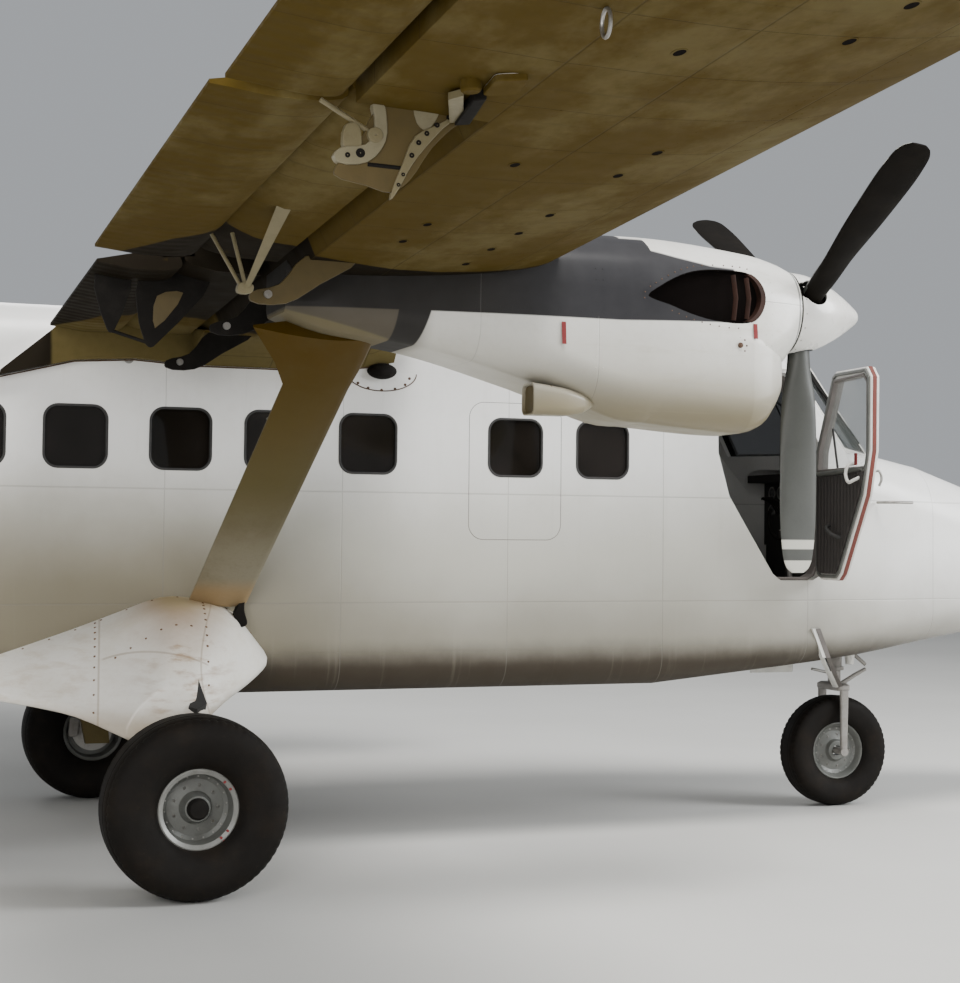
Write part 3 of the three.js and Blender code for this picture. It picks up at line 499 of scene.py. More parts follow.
class Paint:
    """A node material. Places are read in the object's own frame, which is the row frame."""

    def __init__(self, name, **shader):
        self.material = bpy.data.materials.new(name)
        self.material.use_nodes = True
        self.tree = self.material.node_tree
        self.shader = self.tree.nodes["Principled BSDF"]
        for socket, value in shader.items():
            self.shader.inputs[socket.replace("_", " ")].default_value = value
        coordinates = self.tree.nodes.new("ShaderNodeTexCoord")
        self.place, self.normal = (coordinates.outputs[name] for name in ("Object", "Normal"))
        self.x, self.y, self.z = self.parts(self.place)
        self.station = self.x - MID
        self.span = abs(self.y)
        self.colour = None

    def parts(self, vector):
        """A vector's three parts."""
        split = self.tree.nodes.new("ShaderNodeSeparateXYZ")
        self.tree.links.new(vector, split.inputs[0])
        return [Value(self, socket) for socket in split.outputs]

    def put(self, sockets, values):
        """Links each value to its socket, or sets the number or colour there."""
        for socket, value in zip(sockets, values):
            if isinstance(value, Value):
                self.tree.links.new(value.socket, socket)
            else:
                socket.default_value = (*value, 1.0) if isinstance(value, tuple) else value

    def math(self, operation, *values):
        node = self.tree.nodes.new("ShaderNodeMath")
        node.operation = operation
        self.put(node.inputs, values)
        return Value(self, node.outputs[0])

    def ramp(self, value, low, high, start, end, kind="LINEAR"):
        """Start below low and end above high."""
        node = self.tree.nodes.new("ShaderNodeMapRange")
        node.interpolation_type = kind
        self.put(node.inputs, (value, low, high, start, end))
        return Value(self, node.outputs[0])

    def step(self, value, low, high):
        """0 below low and 1 above high, smooth between; the other way round if low is above high."""
        turned = low > high
        ends = (min(low, high), max(low, high), float(turned), float(not turned))
        return self.ramp(value, *ends, "SMOOTHSTEP")

    def between(self, value, low, high, soft=0.002):
        return self.step(value, low - soft, low + soft) * self.step(value, high + soft, high - soft)

    def any(self, mask, *others):
        for other in others:
            mask = self.math("MAXIMUM", mask, other)
        return mask

    def curve(self, value, points):
        """Straight lines between points (value, result), held level beyond the ends."""
        return sum(
            (self.ramp(value, a, b, 0.0, v - u) for (a, u), (b, v) in zip(points, points[1:])), points[0][1],
        )

    def noise(self, scale, detail=3.0, rough=0.55, stretch=None):
        node = self.tree.nodes.new("ShaderNodeTexNoise")
        source = self.place
        if stretch:
            mapping = self.tree.nodes.new("ShaderNodeMapping")
            mapping.inputs["Scale"].default_value = stretch
            self.tree.links.new(source, mapping.inputs[0])
            source = mapping.outputs[0]
        self.tree.links.new(source, node.inputs["Vector"])
        for socket, value in (("Scale", scale), ("Detail", detail), ("Roughness", rough)):
            node.inputs[socket].default_value = value
        return Value(self, node.outputs["Fac"])

    def spots(self, low, high, *noise):
        """A mask of the noise where it rises from low to high."""
        return self.step(self.noise(*noise), low, high)

    def mix(self, mask, first, second):
        node = self.tree.nodes.new("ShaderNodeMix")
        node.data_type = "RGBA"
        self.put([node.inputs[k] for k in (0, 6, 7)], (mask, first, second))
        return Value(self, node.outputs[2])

    def over(self, mask, colour):
        """Lays a colour over the paint's own where the mask says."""
        self.colour = self.mix(mask, self.colour, colour)

    def lines(self, value, first, pitch, count, width):
        """Thin lines across a coordinate, pitch apart."""
        near = self.step(self.math("PINGPONG", value - first, pitch / 2), width, width * 0.4)
        return near * self.between(value, first - width, first + pitch * (count - 1) + width)

    def worn(self, base, dirt, amount, scale):
        """Broad uneven dirt with fine speckle over a base colour."""
        broad = self.spots(0.42, 0.78, scale, 5.0, 0.62)
        return self.mix((broad + self.spots(0.45, 0.8, scale * 14, 3.0) * 0.4) * amount, base, dirt)

    def bump(self, height, distance, strength):
        node = self.tree.nodes.new("ShaderNodeBump")
        node.inputs["Strength"].default_value = strength
        node.inputs["Distance"].default_value = distance
        self.tree.links.new(height.socket, node.inputs["Height"])
        self.tree.links.new(node.outputs[0], self.shader.inputs["Normal"])

    def done(self, roughness=None):
        """Gives the shader the paint's colour and, where it varies, its roughness."""
        self.tree.links.new(self.colour.socket, self.shader.inputs["Base Color"])
        if roughness is not None:
            self.tree.links.new(roughness.socket, self.shader.inputs["Roughness"])
        return self.material


WHITE = (0.76, 0.755, 0.735)
# Grime and painted shade, laid along the belly.
GRIME_AND_BELLY_SHADE = (0.022, 0.013, 0.003)
# Two tones of painted shade for the wing's white paint below, warm olive like light bounced from grass.
UNDERSIDE_SHADE_CREAM = (0.125, 0.100, 0.040)
UNDERSIDE_SHADE_OLIVE = (0.068, 0.044, 0.006)
SOOT = (0.008, 0.006, 0.004)
SLATE = (0.007, 0.0065, 0.009)
STAIN = (0.33, 0.185, 0.075)
# The soot stripe's edges in plan: station, distance from the middle
STRIPE_OUTER = [
    (-0.70, 2.60), (-0.65, 2.84), (-0.41, 3.43), (-0.25, 3.61), (0.0, 3.44), (0.30, 3.34), (0.54, 3.24),
    (0.78, 3.18), (1.1, 3.17),
]
STRIPE_INNER = [
    (-0.70, 0.70), (-0.68, 0.73), (-0.42, 1.50), (0.035, 1.51), (0.48, 1.27), (0.70, 1.30), (1.1, 1.6),
]
# The nacelle's dark band: station, height of its upper and its lower edge
BAND_TOP = [(1.79, 3.4), (1.83, 3.06), (1.95, 3.035), (2.13, 3.005), (2.30, 3.0)]
BAND_LOW = [(0.3, 2.722), (1.65, 2.722), (2.05, 2.737), (2.30, 2.745)]
RIB_PITCH = 0.435
FLAP_BEAD_PITCH = 0.083
PLEAT_PITCH = 0.042


def fuselage_paint():
    """White, dirtier and darker towards belly and tail, the darkening partly dirt and partly painted shade,
    with the seams between its sheets.
    """
    p = Paint("fuselage_white", Roughness=0.34, Coat_Weight=0.12, Coat_Roughness=0.2)
    p.colour = p.worn(WHITE, (0.56, 0.545, 0.50), 0.3, 1.1)
    # Painted shade with some dirt: darker below the windows aft of the nose, where the wing's shadow falls,
    # and darker again towards the belly.
    height = p.z + p.noise(2.0, 4.0) * 0.25
    p.over(p.step(height, 2.50, 1.75) * p.step(p.station, 5.2, 3.0) * 0.9, (0.41, 0.40, 0.35))
    p.over(p.step(height, 1.86, 1.14) * 0.85, (0.165, 0.150, 0.112))
    # Low on the side between the strut and the tail cone: brown dirt and painted shade.
    aft_dirt_and_shade = p.step(p.station, 1.9, -0.2) * p.step(height, 2.30, 1.55) * p.step(p.station, -3.6, -2.6)
    p.over(aft_dirt_and_shade * 0.85, (0.155, 0.13, 0.075))
    # Near-black brown along the belly: grime and painted shade.
    under = p.step(p.z + p.noise(6.0, 4.0) * 0.06, 1.21, 1.03)
    p.over(under * 0.97, GRIME_AND_BELLY_SHADE)
    p.over(p.spots(0.56, 0.8, 3.0, 4.0, 0.6, (9.0, 1.0, 0.35)) * 0.1, (0.30, 0.28, 0.23))
    waist = p.any(p.between(p.z, 1.974, 1.982, 0.003), p.between(p.z, 1.366, 1.373, 0.003))
    seams = p.any(p.lines(p.station, CABIN_REAR, 2 * FRAME_PITCH, 9, 0.004), waist)
    p.over(seams * 0.32, (0.16, 0.15, 0.13))
    p.bump(p.noise(1.7, 2.0) * 4.0 + seams * -0.8 + p.noise(60.0, 2.0) * 0.12, 0.002, 0.5)
    return p.done(p.noise(7.0) * 0.22 + 0.24 + under * 0.4)


def stripe_mask(p):
    """The dark stripe behind each nacelle, seen in plan."""
    span = p.span + (p.noise(3.0) - 0.5) * 0.07
    return (
        p.step(p.curve(p.station, STRIPE_OUTER) - span, -0.008, 0.008)
        * p.step(span - p.curve(p.station, STRIPE_INNER), -0.03, 0.03)
        * p.step(p.station, 1.18, 1.1)
    )


def wing_paint(name, ribbed=False):
    """White above; below, painted shade in worn cream and olive tones, with the stripe; ribbed skins have
    beads, others a boot.
    """
    p = Paint(name, Roughness=0.7, Specular_IOR_Level=0.08)
    # Faces that look down take the painted shade colours; those that look up keep the white.
    under = p.step(p.parts(p.normal)[2], 0.5, 0.2)
    top = p.worn(WHITE, (0.48, 0.46, 0.41), 0.4, 1.3)
    ahead = p.step(p.station, 0.2, 1.3) * 0.07
    blotch = p.step(p.noise(1.15, 6.0, 0.68, (1.5, 0.8, 1.0)) + ahead, 0.49, 0.66)
    p.colour = p.mix(blotch * 0.68, UNDERSIDE_SHADE_OLIVE, UNDERSIDE_SHADE_CREAM)
    # Lighter painted shade near the root.
    p.over(p.step(p.span, 1.32, 1.15) * 0.75, UNDERSIDE_SHADE_CREAM)
    p.over(p.spots(0.35, 0.85, 22.0, 3.0) * 0.22, (0.055, 0.038, 0.012))
    p.over(p.spots(0.58, 0.8, 2.2, 5.0, 0.6, (0.25, 6.0, 1.0)) * 0.45, (0.042, 0.030, 0.010))
    p.over(stripe_mask(p) * p.spots(0.15, 0.3, 9.0, 3.0) * 0.96, SOOT)
    spars = [p.between(p.station, x - 0.003, x + 0.003, 0.003) for x in (1.07, 0.55, 0.18)]
    seams = p.any(p.lines(p.span, 0.98, RIB_PITCH, 21, 0.004), *spars)
    p.over(seams * 0.5, (0.03, 0.02, 0.006))
    # Painted shade: the underside colours where the face looks down, white paint above.
    p.colour = p.mix(under, p.mix(seams * 0.3, top, (0.18, 0.17, 0.15)), p.colour)
    height = p.noise(2.4, 2.0) * 3.0 + seams * -0.8
    if ribbed:
        beads = p.math("SINE", p.span * (2 * math.pi / FLAP_BEAD_PITCH))
        height = height + beads * p.step(p.station, -0.3, -0.36) * 0.9
    else:
        p.over(p.step(p.station, 1.318, 1.324) * p.step(p.span, 3.22, 3.23), (0.02, 0.02, 0.021))
    p.bump(height, 0.002, 0.6)
    return p.done(p.noise(8.0) * 0.3 + 0.6)


def nacelle_paint():
    """White, darker low down with painted shade, with a dark band round the exhaust, a dark ring, dark brown
    behind, and the cowl's seams.
    """
    p = Paint("nacelle_paint", Roughness=0.36, Coat_Weight=0.12, Coat_Roughness=0.2)
    x, z = p.station, p.z
    p.colour = p.worn((0.72, 0.71, 0.67), (0.46, 0.43, 0.35), 0.35, 2.4)
    # Painted shade: darker, and olive-brown at the bottom, towards the nacelle's underside.
    p.over(p.step(z, 2.82, 2.40) * 0.75, (0.42, 0.40, 0.34))
    p.over(p.step(z, 2.56, 2.28) * 0.9, (0.17, 0.135, 0.06))
    p.over(p.spots(0.55, 0.8, 4.0, 4.0, 0.6, (0.5, 3.0, 6.0)) * 0.28, (0.38, 0.335, 0.24))
    # Dark brown behind, olive-brown at its bottom.
    rear = p.step(x, 0.80, 0.66)
    p.over(rear * 0.93, (0.030, 0.018, 0.001))
    p.over(p.step(x, 0.72, 0.70) * p.step(z + x * 0.24, 2.752, 2.742) * 0.8, (0.14, 0.115, 0.055))
    band = p.step(p.curve(x, BAND_TOP) - z, -0.006, 0.006) * p.step(z - p.curve(x, BAND_LOW), -0.004, 0.004)
    beside = p.any(p.step(abs(p.span - ENGINE_Y), 0.16, 0.19), p.step(x, 1.72, 1.70))
    band = band * p.step(x, 2.27, 2.255) * beside
    ring_rear, ring_front = (z - 2.52) * 0.14 + 0.598, (z - 2.52) * 0.31 + 0.707
    ring = p.step(x - ring_rear, -0.004, 0.004) * p.step(ring_front - x, -0.004, 0.004)
    dark = p.any(band, ring)
    slate = p.mix(p.spots(0.35, 0.75, 5.0, 4.0), SLATE, (0.013, 0.0125, 0.015))
    p.over(dark, p.mix(p.step(x, 1.55, 0.9) * 0.9, slate, SOOT))
    seams = p.any(
        p.between(x, 1.542, 1.545, 0.002) * p.step(z, 2.74, 2.73),
        p.between(z, 2.853, 2.856, 0.003) * p.step(x, 2.40, 2.41),
        p.between(x, 0.988, 0.990, 0.002),
    )
    p.over(seams * 0.4, (0.14, 0.13, 0.12))
    p.over(p.between(x, 2.636, 2.648, 0.002) * 0.75, (0.05, 0.05, 0.05))
    p.bump(p.noise(3.0, 2.0) * 2.0 - seams, 0.002, 0.5)
    return p.done(p.noise(9.0) * 0.2 + 0.26 + p.any(rear, dark) * 0.42)


def cream_paint():
    """The strut's cream, darker towards its top with painted shade under the wing, and stained at its foot.
    """
    p = Paint("strut_cream", Roughness=0.6, Specular_IOR_Level=0.12)
    # Painted shade: pale cream low down, darkening to olive-brown at the top under the wing.
    high = p.mix(p.step(p.z, 1.9, 2.6), (0.095, 0.076, 0.030), (0.066, 0.038, 0.003))
    base = p.mix(p.step(p.z, 2.0, 1.5), high, (0.21, 0.19, 0.135))
    p.colour = p.worn(base, (0.08, 0.058, 0.020), 0.35, 4.0)
    p.over(p.step(p.z, 1.52, 1.42) * 0.6, (0.33, 0.21, 0.09))
    p.bump(p.noise(20.0, 3.0), 0.0008, 0.4)
    return p.done(p.noise(10.0) * 0.25 + 0.35)


def fairing_paint():
    """White with rusty stains round the strut's foot, and the seams of its sheets."""
    p = Paint("fairing_white", Roughness=0.42, Coat_Weight=0.1)
    x, z = p.station, p.z
    p.colour = p.worn((0.80, 0.775, 0.715), (0.58, 0.51, 0.38), 0.4, 3.2)
    wobble = p.noise(5.0, 4.0) * 0.22
    fan = p.spots(0.45, 0.7, 3.2, 5.0, 0.6, (2.2, 1.0, 7.0))
    near_strut = p.step(abs(x - 0.02) + wobble, 0.46, 0.12)
    p.over(near_strut * p.any(p.step(z + wobble, 1.12, 1.5), fan) * 0.75, STAIN)
    p.over(p.step(z, 1.31, 1.40) * p.between(x, -0.05, 0.30, 0.06) * 0.6, (0.40, 0.31, 0.12))
    p.over(p.step(x, -0.25, -0.45) * fan * 0.3, (0.42, 0.29, 0.13))
    p.over(p.step(z, 0.92, 0.80) * 0.6, (0.30, 0.22, 0.12))
    rear_seam = (p.span - 0.9) * -0.13 - 0.33
    front_seam = 0.115 - (p.span - 1.3) * 0.12 + p.math("POWER", z - 1.07, 2.0) * 0.9
    arch = p.math("POWER", x + 0.14, 2.0) * 0.9
    seams = p.any(
        p.step(abs(x - rear_seam), 0.007, 0.003),
        p.step(abs(x - front_seam), 0.006, 0.003),
        p.step(abs(z + arch - 1.150), 0.006, 0.003) * p.between(x, -0.36, 0.13, 0.01),
    )
    p.over(seams * 0.42, (0.26, 0.17, 0.09))
    p.bump(p.noise(12.0, 3.0) - seams, 0.001, 0.4)
    return p.done(p.noise(9.0) * 0.25 + 0.3)


def plain(name, colour, dirt, roughness, metallic, amount, scale, shader=None, bump=0.0006):
    """One colour, unevenly dirty and slightly rough."""
    p = Paint(name, Metallic=metallic, **(shader or {}))
    p.colour = p.worn(colour, dirt, amount, scale)
    p.bump(p.noise(scale * 6, 3.0), bump, 0.5)
    return p.done(p.noise(scale * 1.7) * 0.24 + (roughness - 0.12))


def tyre_rubber():
    p = Paint("tyre_rubber", Roughness=0.8, Specular_IOR_Level=0.18)
    dust = p.spots(0.42, 0.75, 5.0, 5.0, 0.65) * 0.5
    p.colour = p.mix(dust, (0.0055, 0.0042, 0.003), (0.018, 0.012, 0.007))
    p.over(p.spots(0.6, 0.8, 40.0, 4.0) * 0.4, (0.022, 0.016, 0.010))
    p.bump(p.noise(90.0, 4.0), 0.0012, 0.6)
    return p.done(p.noise(12.0) * 0.25 + 0.62)


def glass(name, haze, first, second, **shader):
    """Window glass, unevenly tinted; haze gives the mask as Paint.spots takes it."""
    p = Paint(name, Roughness=0.06, **shader)
    p.colour = p.mix(p.spots(*haze), first, second)
    return p.done()


def quilted_trim():
    p = Paint("door_trim", Roughness=0.8)
    pleat = p.math("SINE", p.y * (2 * math.pi / PLEAT_PITCH))
    # The pleats' hollows are painted darker: painted shade in the creases.
    p.colour = p.mix(p.step(pleat, -1.0, 1.0), (0.022, 0.018, 0.016), (0.036, 0.030, 0.027))
    p.over(p.spots(0.5, 0.7, 9.0, 4.0) * 0.6, (0.03, 0.026, 0.024))
    p.bump(pleat * 2.0 + p.noise(60.0, 3.0), 0.0014, 0.6)
    return p.done()


def blade_grey():
    """Grey with two pale bands near the tip."""
    p = Paint("blade_grey", Roughness=0.45)
    across, above = p.span - ENGINE_Y, p.z - HUB_Z
    radius = p.math("SQRT", across * across + above * above)
    p.colour = p.worn((0.058, 0.060, 0.053), (0.036, 0.036, 0.031), 0.4, 6.0)
    p.over(p.any(p.between(radius, 1.105, 1.15, 0.003), p.step(radius, 1.203, 1.208)), (0.50, 0.49, 0.43))
    p.bump(p.noise(70.0, 2.0), 0.0004, 0.4)
    return p.done()


def dull(level):
    return {"Specular_IOR_Level": level}


def coated(weight):
    return {"Coat_Weight": weight}


# Plain paints: name, colour, dirt, roughness, metallic, share of dirt, scale of its pattern, others
PLAIN = {
    "rim": ("rim_paint", (0.125, 0.128, 0.117), (0.06, 0.058, 0.05), 0.42, 0.15, 0.5, 14.0),
    "steel": ("worn_steel", (0.34, 0.33, 0.31), (0.15, 0.13, 0.10), 0.38, 0.75, 0.5, 18.0),
    "grey_paint": ("gear_grey", (0.27, 0.255, 0.235), (0.14, 0.12, 0.10), 0.45, 0.1, 0.5, 16.0),
    "pale": ("bracket_cream", (0.165, 0.14, 0.075), (0.09, 0.07, 0.03), 0.45, 0.0, 0.4, 14.0),
    "brown": ("bracket_brown", (0.078, 0.054, 0.013), (0.045, 0.03, 0.007), 0.5, 0.0, 0.4, 14.0),
    "leg": ("leg_olive", (0.115, 0.088, 0.032), (0.06, 0.043, 0.015), 0.55, 0.0, 0.45, 7.0, dull(0.2)),
    "rust_screw": ("rusty_screw", (0.16, 0.085, 0.04), (0.08, 0.045, 0.025), 0.6, 0.1, 0.6, 30.0),
    "rim_edge": ("rim_edge_grey", (0.22, 0.22, 0.205), (0.11, 0.105, 0.09), 0.4, 0.2, 0.5, 18.0),
    "bracket_white": ("bracket_white", (0.20, 0.178, 0.112), (0.11, 0.09, 0.045), 0.45, 0.0, 0.4, 14.0),
    "white": ("trim_white", (0.68, 0.67, 0.63), (0.42, 0.40, 0.34), 0.4, 0.0, 0.4, 8.0),
    "cone": ("spinner_white", (0.70, 0.69, 0.655), (0.50, 0.47, 0.41), 0.3, 0.0, 0.35, 6.0, coated(0.3)),
    "black": ("dull_black", (0.009, 0.008, 0.007), (0.022, 0.019, 0.016), 0.75, 0.0, 0.5, 12.0, dull(0.10)),
    "blade_black": (
        "blade_black", (0.006, 0.005, 0.004), (0.014, 0.011, 0.008), 0.65, 0.0, 0.4, 8.0, dull(0.06)),
    "lining": ("cabin_lining", (0.022, 0.020, 0.017), (0.012, 0.010, 0.009), 0.8, 0.0, 0.5, 5.0),
    "jamb": ("door_jamb", (0.14, 0.125, 0.115), (0.075, 0.065, 0.06), 0.55, 0.0, 0.5, 12.0),
    "rubber": ("seal_rubber", (0.020, 0.019, 0.018), (0.045, 0.042, 0.038), 0.7, 0.0, 0.4, 20.0),
    "red": ("red_seal", (0.15, 0.028, 0.018), (0.09, 0.03, 0.02), 0.55, 0.0, 0.6, 10.0),
    "tag": ("red_tag", (0.20, 0.016, 0.016), (0.11, 0.012, 0.012), 0.7, 0.0, 0.4, 30.0),
    "rust": ("exhaust_rust", (0.036, 0.016, 0.011), (0.016, 0.009, 0.007), 0.7, 0.1, 0.7, 12.0, dull(0.2)),
    "pipe": ("exhaust_dark", (0.006, 0.0045, 0.004), (0.003, 0.0025, 0.002), 0.85, 0.0, 0.5, 9.0, dull(0.03)),
    "screw": ("rusty_screw", (0.085, 0.045, 0.025), (0.03, 0.02, 0.015), 0.6, 0.3, 0.6, 40.0),
    "fabric": ("seat_fabric", (0.045, 0.055, 0.075), (0.085, 0.09, 0.10), 0.9, 0.0, 0.5, 60.0, None, 0.002),
    "floor": ("floor_mat", (0.10, 0.10, 0.098), (0.06, 0.055, 0.05), 0.75, 0.0, 0.6, 8.0),
    "dial": ("dial_face", (0.016, 0.016, 0.017), (0.03, 0.03, 0.03), 0.3, 0.0, 0.3, 30.0),
    "boot": ("ice_boot", (0.016, 0.016, 0.017), (0.035, 0.033, 0.03), 0.55, 0.0, 0.5, 6.0),
    "lamp_red": ("lamp_red", (0.5, 0.02, 0.015), (0.3, 0.01, 0.01), 0.2, 0.0, 0.2, 20.0, coated(0.5)),
    "lamp_green": ("lamp_green", (0.02, 0.30, 0.12), (0.01, 0.2, 0.08), 0.2, 0.0, 0.2, 20.0, coated(0.5)),
}
MATERIALS = {key: plain(*row) for key, row in PLAIN.items()}
MATERIALS |= {
    "fuselage": fuselage_paint(),
    "wing": wing_paint("wing_paint"),
    "flap": wing_paint("flap_paint", ribbed=True),
    "nacelle": nacelle_paint(),
    "cream": cream_paint(),
    "fairing": fairing_paint(),
    "tyre": tyre_rubber(),
    "blade_grey": blade_grey(),
    "trim": quilted_trim(),
    "glass": glass("cabin_window", (0.3, 0.75, 2.0, 2.0), (0.006, 0.005, 0.0035), (0.016, 0.013, 0.011),
                   IOR=1.36, Alpha=0.92),
    "clear": glass("clear_window", (0.35, 0.8, 6.0, 3.0), (0.30, 0.34, 0.33), (0.52, 0.53, 0.50),
                   IOR=1.45, Alpha=0.24, Coat_Weight=0.3, Coat_Roughness=0.04),
    "screen": glass("screen_glass", (0.35, 0.8, 4.0, 3.0), (0.018, 0.021, 0.021), (0.045, 0.05, 0.05),
                    IOR=1.4, Alpha=0.72),
}


# Fuselage; a row in its tables: station, half width, low, high, low corner, high corner

def cabin_row(x):
    return (x, HALF, BELLY, ROOF, *CABIN_CORNERS)


NOSE = [
    (6.48, 0.03, 1.495, 1.555, 0.026, 0.026), (6.462, 0.135, 1.425, 1.645, 0.10, 0.10),
    (6.40, 0.245, 1.35, 1.735, 0.15, 0.19), (6.20, 0.39, 1.28, 1.835, 0.20, 0.27),
    (5.85, 0.52, 1.22, 1.935, 0.22, 0.31), (5.35, 0.64, 1.165, 2.07, 0.22, 0.33),
    (DECK_X, 0.735, 1.10, DECK_Z, 0.20, 0.33),
]
DECK = [
    (DECK_X, 0.735, 1.10, DECK_Z, 0.20, 0.33), (4.3, 0.825, 1.02, 2.285, 0.19, 0.25),
    (3.7, HALF, 0.96, 2.30, 0.17, 0.20), (CABIN_FRONT, HALF, BELLY, 2.30, 0.17, 0.20),
]
HIGH = [
    (DECK_X, 0.735, 1.10, 2.88, 0.20, 0.25), (4.3, 0.825, 1.02, 2.91, 0.19, 0.25),
    (3.7, HALF, 0.96, ROOF, *CABIN_CORNERS), cabin_row(CABIN_FRONT),
]
TAIL = [
    cabin_row(CABIN_REAR - GAP), (-3.5, 0.845, 1.0, 2.945, 0.17, 0.25),
    (-5.2, 0.65, 1.41, 2.925, 0.16, 0.23), (-7.0, 0.40, 1.88, 2.89, 0.13, 0.18),
    (-8.3, 0.19, 2.24, 2.84, 0.09, 0.10), (-8.62, 0.12, 2.345, 2.80, 0.06, 0.07),
]
# How far the windscreen runs back for each metre to the side, and for each metre up
SCREEN_SWEEP = 0.67 / 0.83
SCREEN_SLOPE = 0.5 / 0.66
SCREEN_PANE = [(0.06, 2.305), (0.06, 2.86), (0.64, 2.83), (0.74, 2.305)]
DOOR = [
    (3.895, 1.49), (3.945, 1.515), (DOOR_HINGE, 1.575), (DOOR_HINGE, 2.26), (3.745, 2.72), (3.70, 2.745),
    (3.31, 2.745), (3.25, 2.68), (3.255, 2.25), (3.33, 1.99), (3.622, 1.53), (3.675, 1.49),
]
DOOR_WINDOW = [
    (3.925, 2.155), (3.915, 2.27), (3.71, 2.68), (3.345, 2.69), (3.297, 2.645), (3.297, 2.20), (3.33, 2.16),
]
# Stations of the windows; the exit's station, width, low, high and corner; doors from rear to front
WINDOWS = [2.51, 1.108, 0.585, 0.08, -0.465, -0.98, -1.49]
EXIT = (1.973, 0.56, 1.72, 2.50, 0.09)
REAR_DOOR = {"left": (-2.78, -2.02, FLOOR_Z, 2.59), "right": (-2.79, -2.02, FLOOR_Z, 2.47)}
NOSE_DOOR = {"rear": 5.0, "front": 5.69, "low": 1.29, "high": 1.78, "recess": 0.034, "thick": 0.026}


def screen_point(y, z, back=0.0):
    """A point on the windscreen's plane of its own side, or so far behind it."""
    return (DECK_X - back - SCREEN_SWEEP * abs(y) - SCREEN_SLOPE * (z - DECK_Z), y, z)


def ahead_of_screen(back):
    """All the room ahead of the two screen planes, which may be drawn back by a wall."""
    reach, far = 1.2, 9
    rings = []
    for z in (0.4, 3.4):
        middle, right, left = (screen_point(y, z, back) for y in (0, -reach, reach))
        rings.append([middle, right, (far, -reach, z), (far, reach, z), left])
    return loft(rings)


def exit_outline():
    """The starboard emergency exit from the side."""
    x, width, low, high, radius = EXIT
    return rounded(x - width / 2, x + width / 2, low, high, radius, radius)


def rear_door_outline(side):
    return rounded(*REAR_DOOR[side], 0.07, 0.11)


def nose_patch(x0, x1, z0, z1, outer, inner):
    """A curved plate that follows the port nose skin between two depths below it."""
    steps = 14
    heights = np.linspace(z0, z1, steps)
    rings = []
    for x in np.linspace(x0, x1, steps):
        out = [(x, half_width(NOSE, x, z) - outer, z) for z in heights]
        back = [(x, half_width(NOSE, x, z) - inner, z) for z in heights[::-1]]
        rings.append(out + back)
    return loft(rings)


def nose_forms():
    """The nose skin, and the port baggage door in its well."""
    d = NOSE_DOOR
    well = nose_patch(d["rear"], d["front"], d["low"], d["high"], -0.03, d["recess"])
    white_skin("nose_skin", cut(body(NOSE, 34), well), "nose_shell")
    room, carrier = 0.008, "nose_baggage_door_unit"
    edges = d["rear"] + room, d["front"] - room, d["low"] + room, d["high"] - room
    panel = nose_patch(*edges, 0.0, d["thick"])
    white_skin("nose_door_skin", panel, "nose_baggage_door", carrier, bevel=0.003)
    catches = [(x, half_width(NOSE, x, 1.345) + 0.0005, 1.345) for x in (5.18, 5.5)]
    piece("nose_door_catches", domes(catches, (0, 1, 0), 0.016, 0.4, 14, 3), "steel", carrier)


def cockpit_forms():
    """The hollow cockpit shell with its door openings, screen frames, seals, wipers and jambs."""
    hollows = [cut(body(shell_rows(HIGH), 16, WALL), ahead_of_screen(WALL)), body(shell_rows(DECK), 16, WALL)]
    hollows += [side_prism(DOOR, way * 0.5, way * 1.2) for way in (1, -1)]
    hollows += [screen_block(way, -0.06, 0.26) for way in (1, -1)]
    shell = cut(body(HIGH, 20, GAP / 2), ahead_of_screen(0))
    combined(shell, [("UNION", body(DECK, 20, GAP / 2)), *[("DIFFERENCE", form) for form in hollows]])
    white_skin("cockpit_skin", shell, "cockpit_shell", angle=26)
    for side, way in SIDES:
        normal = Vector((1, way * SCREEN_SWEEP, SCREEN_SLOPE)).normalized()
        def on_screen(y, z, h):
            return tuple(np.array(screen_point(way * y, z)) + h * np.array(normal))
        strip = rim(SCREEN_PANE, on_screen, 0.034, 0.0, -0.004, 0.005)
        piece("screen_frame_" + side, strip, "white", slot="white_paint", bevel=0.002)
        heads = [on_screen(y, z, 0.005) for y, z in along_outline(offset(SCREEN_PANE, 0.018), 0.055)]
        piece("screen_screws_" + side, domes(heads, tuple(normal), 0.0065), "steel")
        seal = rim(SCREEN_PANE, on_screen, 0.0, 0.016, -0.028, 0.002)
        piece("screen_seal_" + side, seal, "rubber", slot="dark_panel")
        material_of("windscreen_" + side, "screen")
        arm = [on_screen(0.16, 2.36, 0.02), on_screen(0.30, 2.62, 0.024), on_screen(0.34, 2.70, 0.014)]
        blade = [on_screen(0.30, 2.80, 0.012), on_screen(0.36, 2.44, 0.012)]
        piece("wiper_" + side, together(tube(arm, 0.006), tube(blade, 0.008, flat=0.5)), "black")
    for side, way in SIDES:
        jamb = rim(DOOR, side_place(way), 0.0, 0.018, -0.165, -0.075)
        piece("door_jamb_" + side, jamb, "jamb", slot="dark_panel", bevel=0.004)


def shell_rows(rows):
    """Rows for the hollow inside: drawn back from the front wall and run out at the rear."""
    front, *middle, rear = rows
    return [(front[0] - WALL, *front[1:]), *middle, (rear[0] - 0.12, *rear[1:])]


def screen_block(way, outer, inner):
    return loft([[screen_point(way * y, z, back) for y, z in SCREEN_PANE] for back in (outer, inner)])


def hung(obj, way):
    """Turns a starboard door piece to the place where it stands open."""
    if way < 0:
        hinge = Vector((DOOR_HINGE + MID, -HALF, 0))
        turn = Matrix.Translation(hinge) @ Matrix.Rotation(DOOR_OPEN, 4, "Z") @ Matrix.Translation(-hinge)
        obj.data.transform(turn)
    return obj


def sorted_outline(points):
    """The points in the order in which they lie round their middle."""
    centre = np.mean(points, axis=0)
    return sorted(points, key=lambda q: math.atan2(q[1] - centre[1], q[0] - centre[0]))


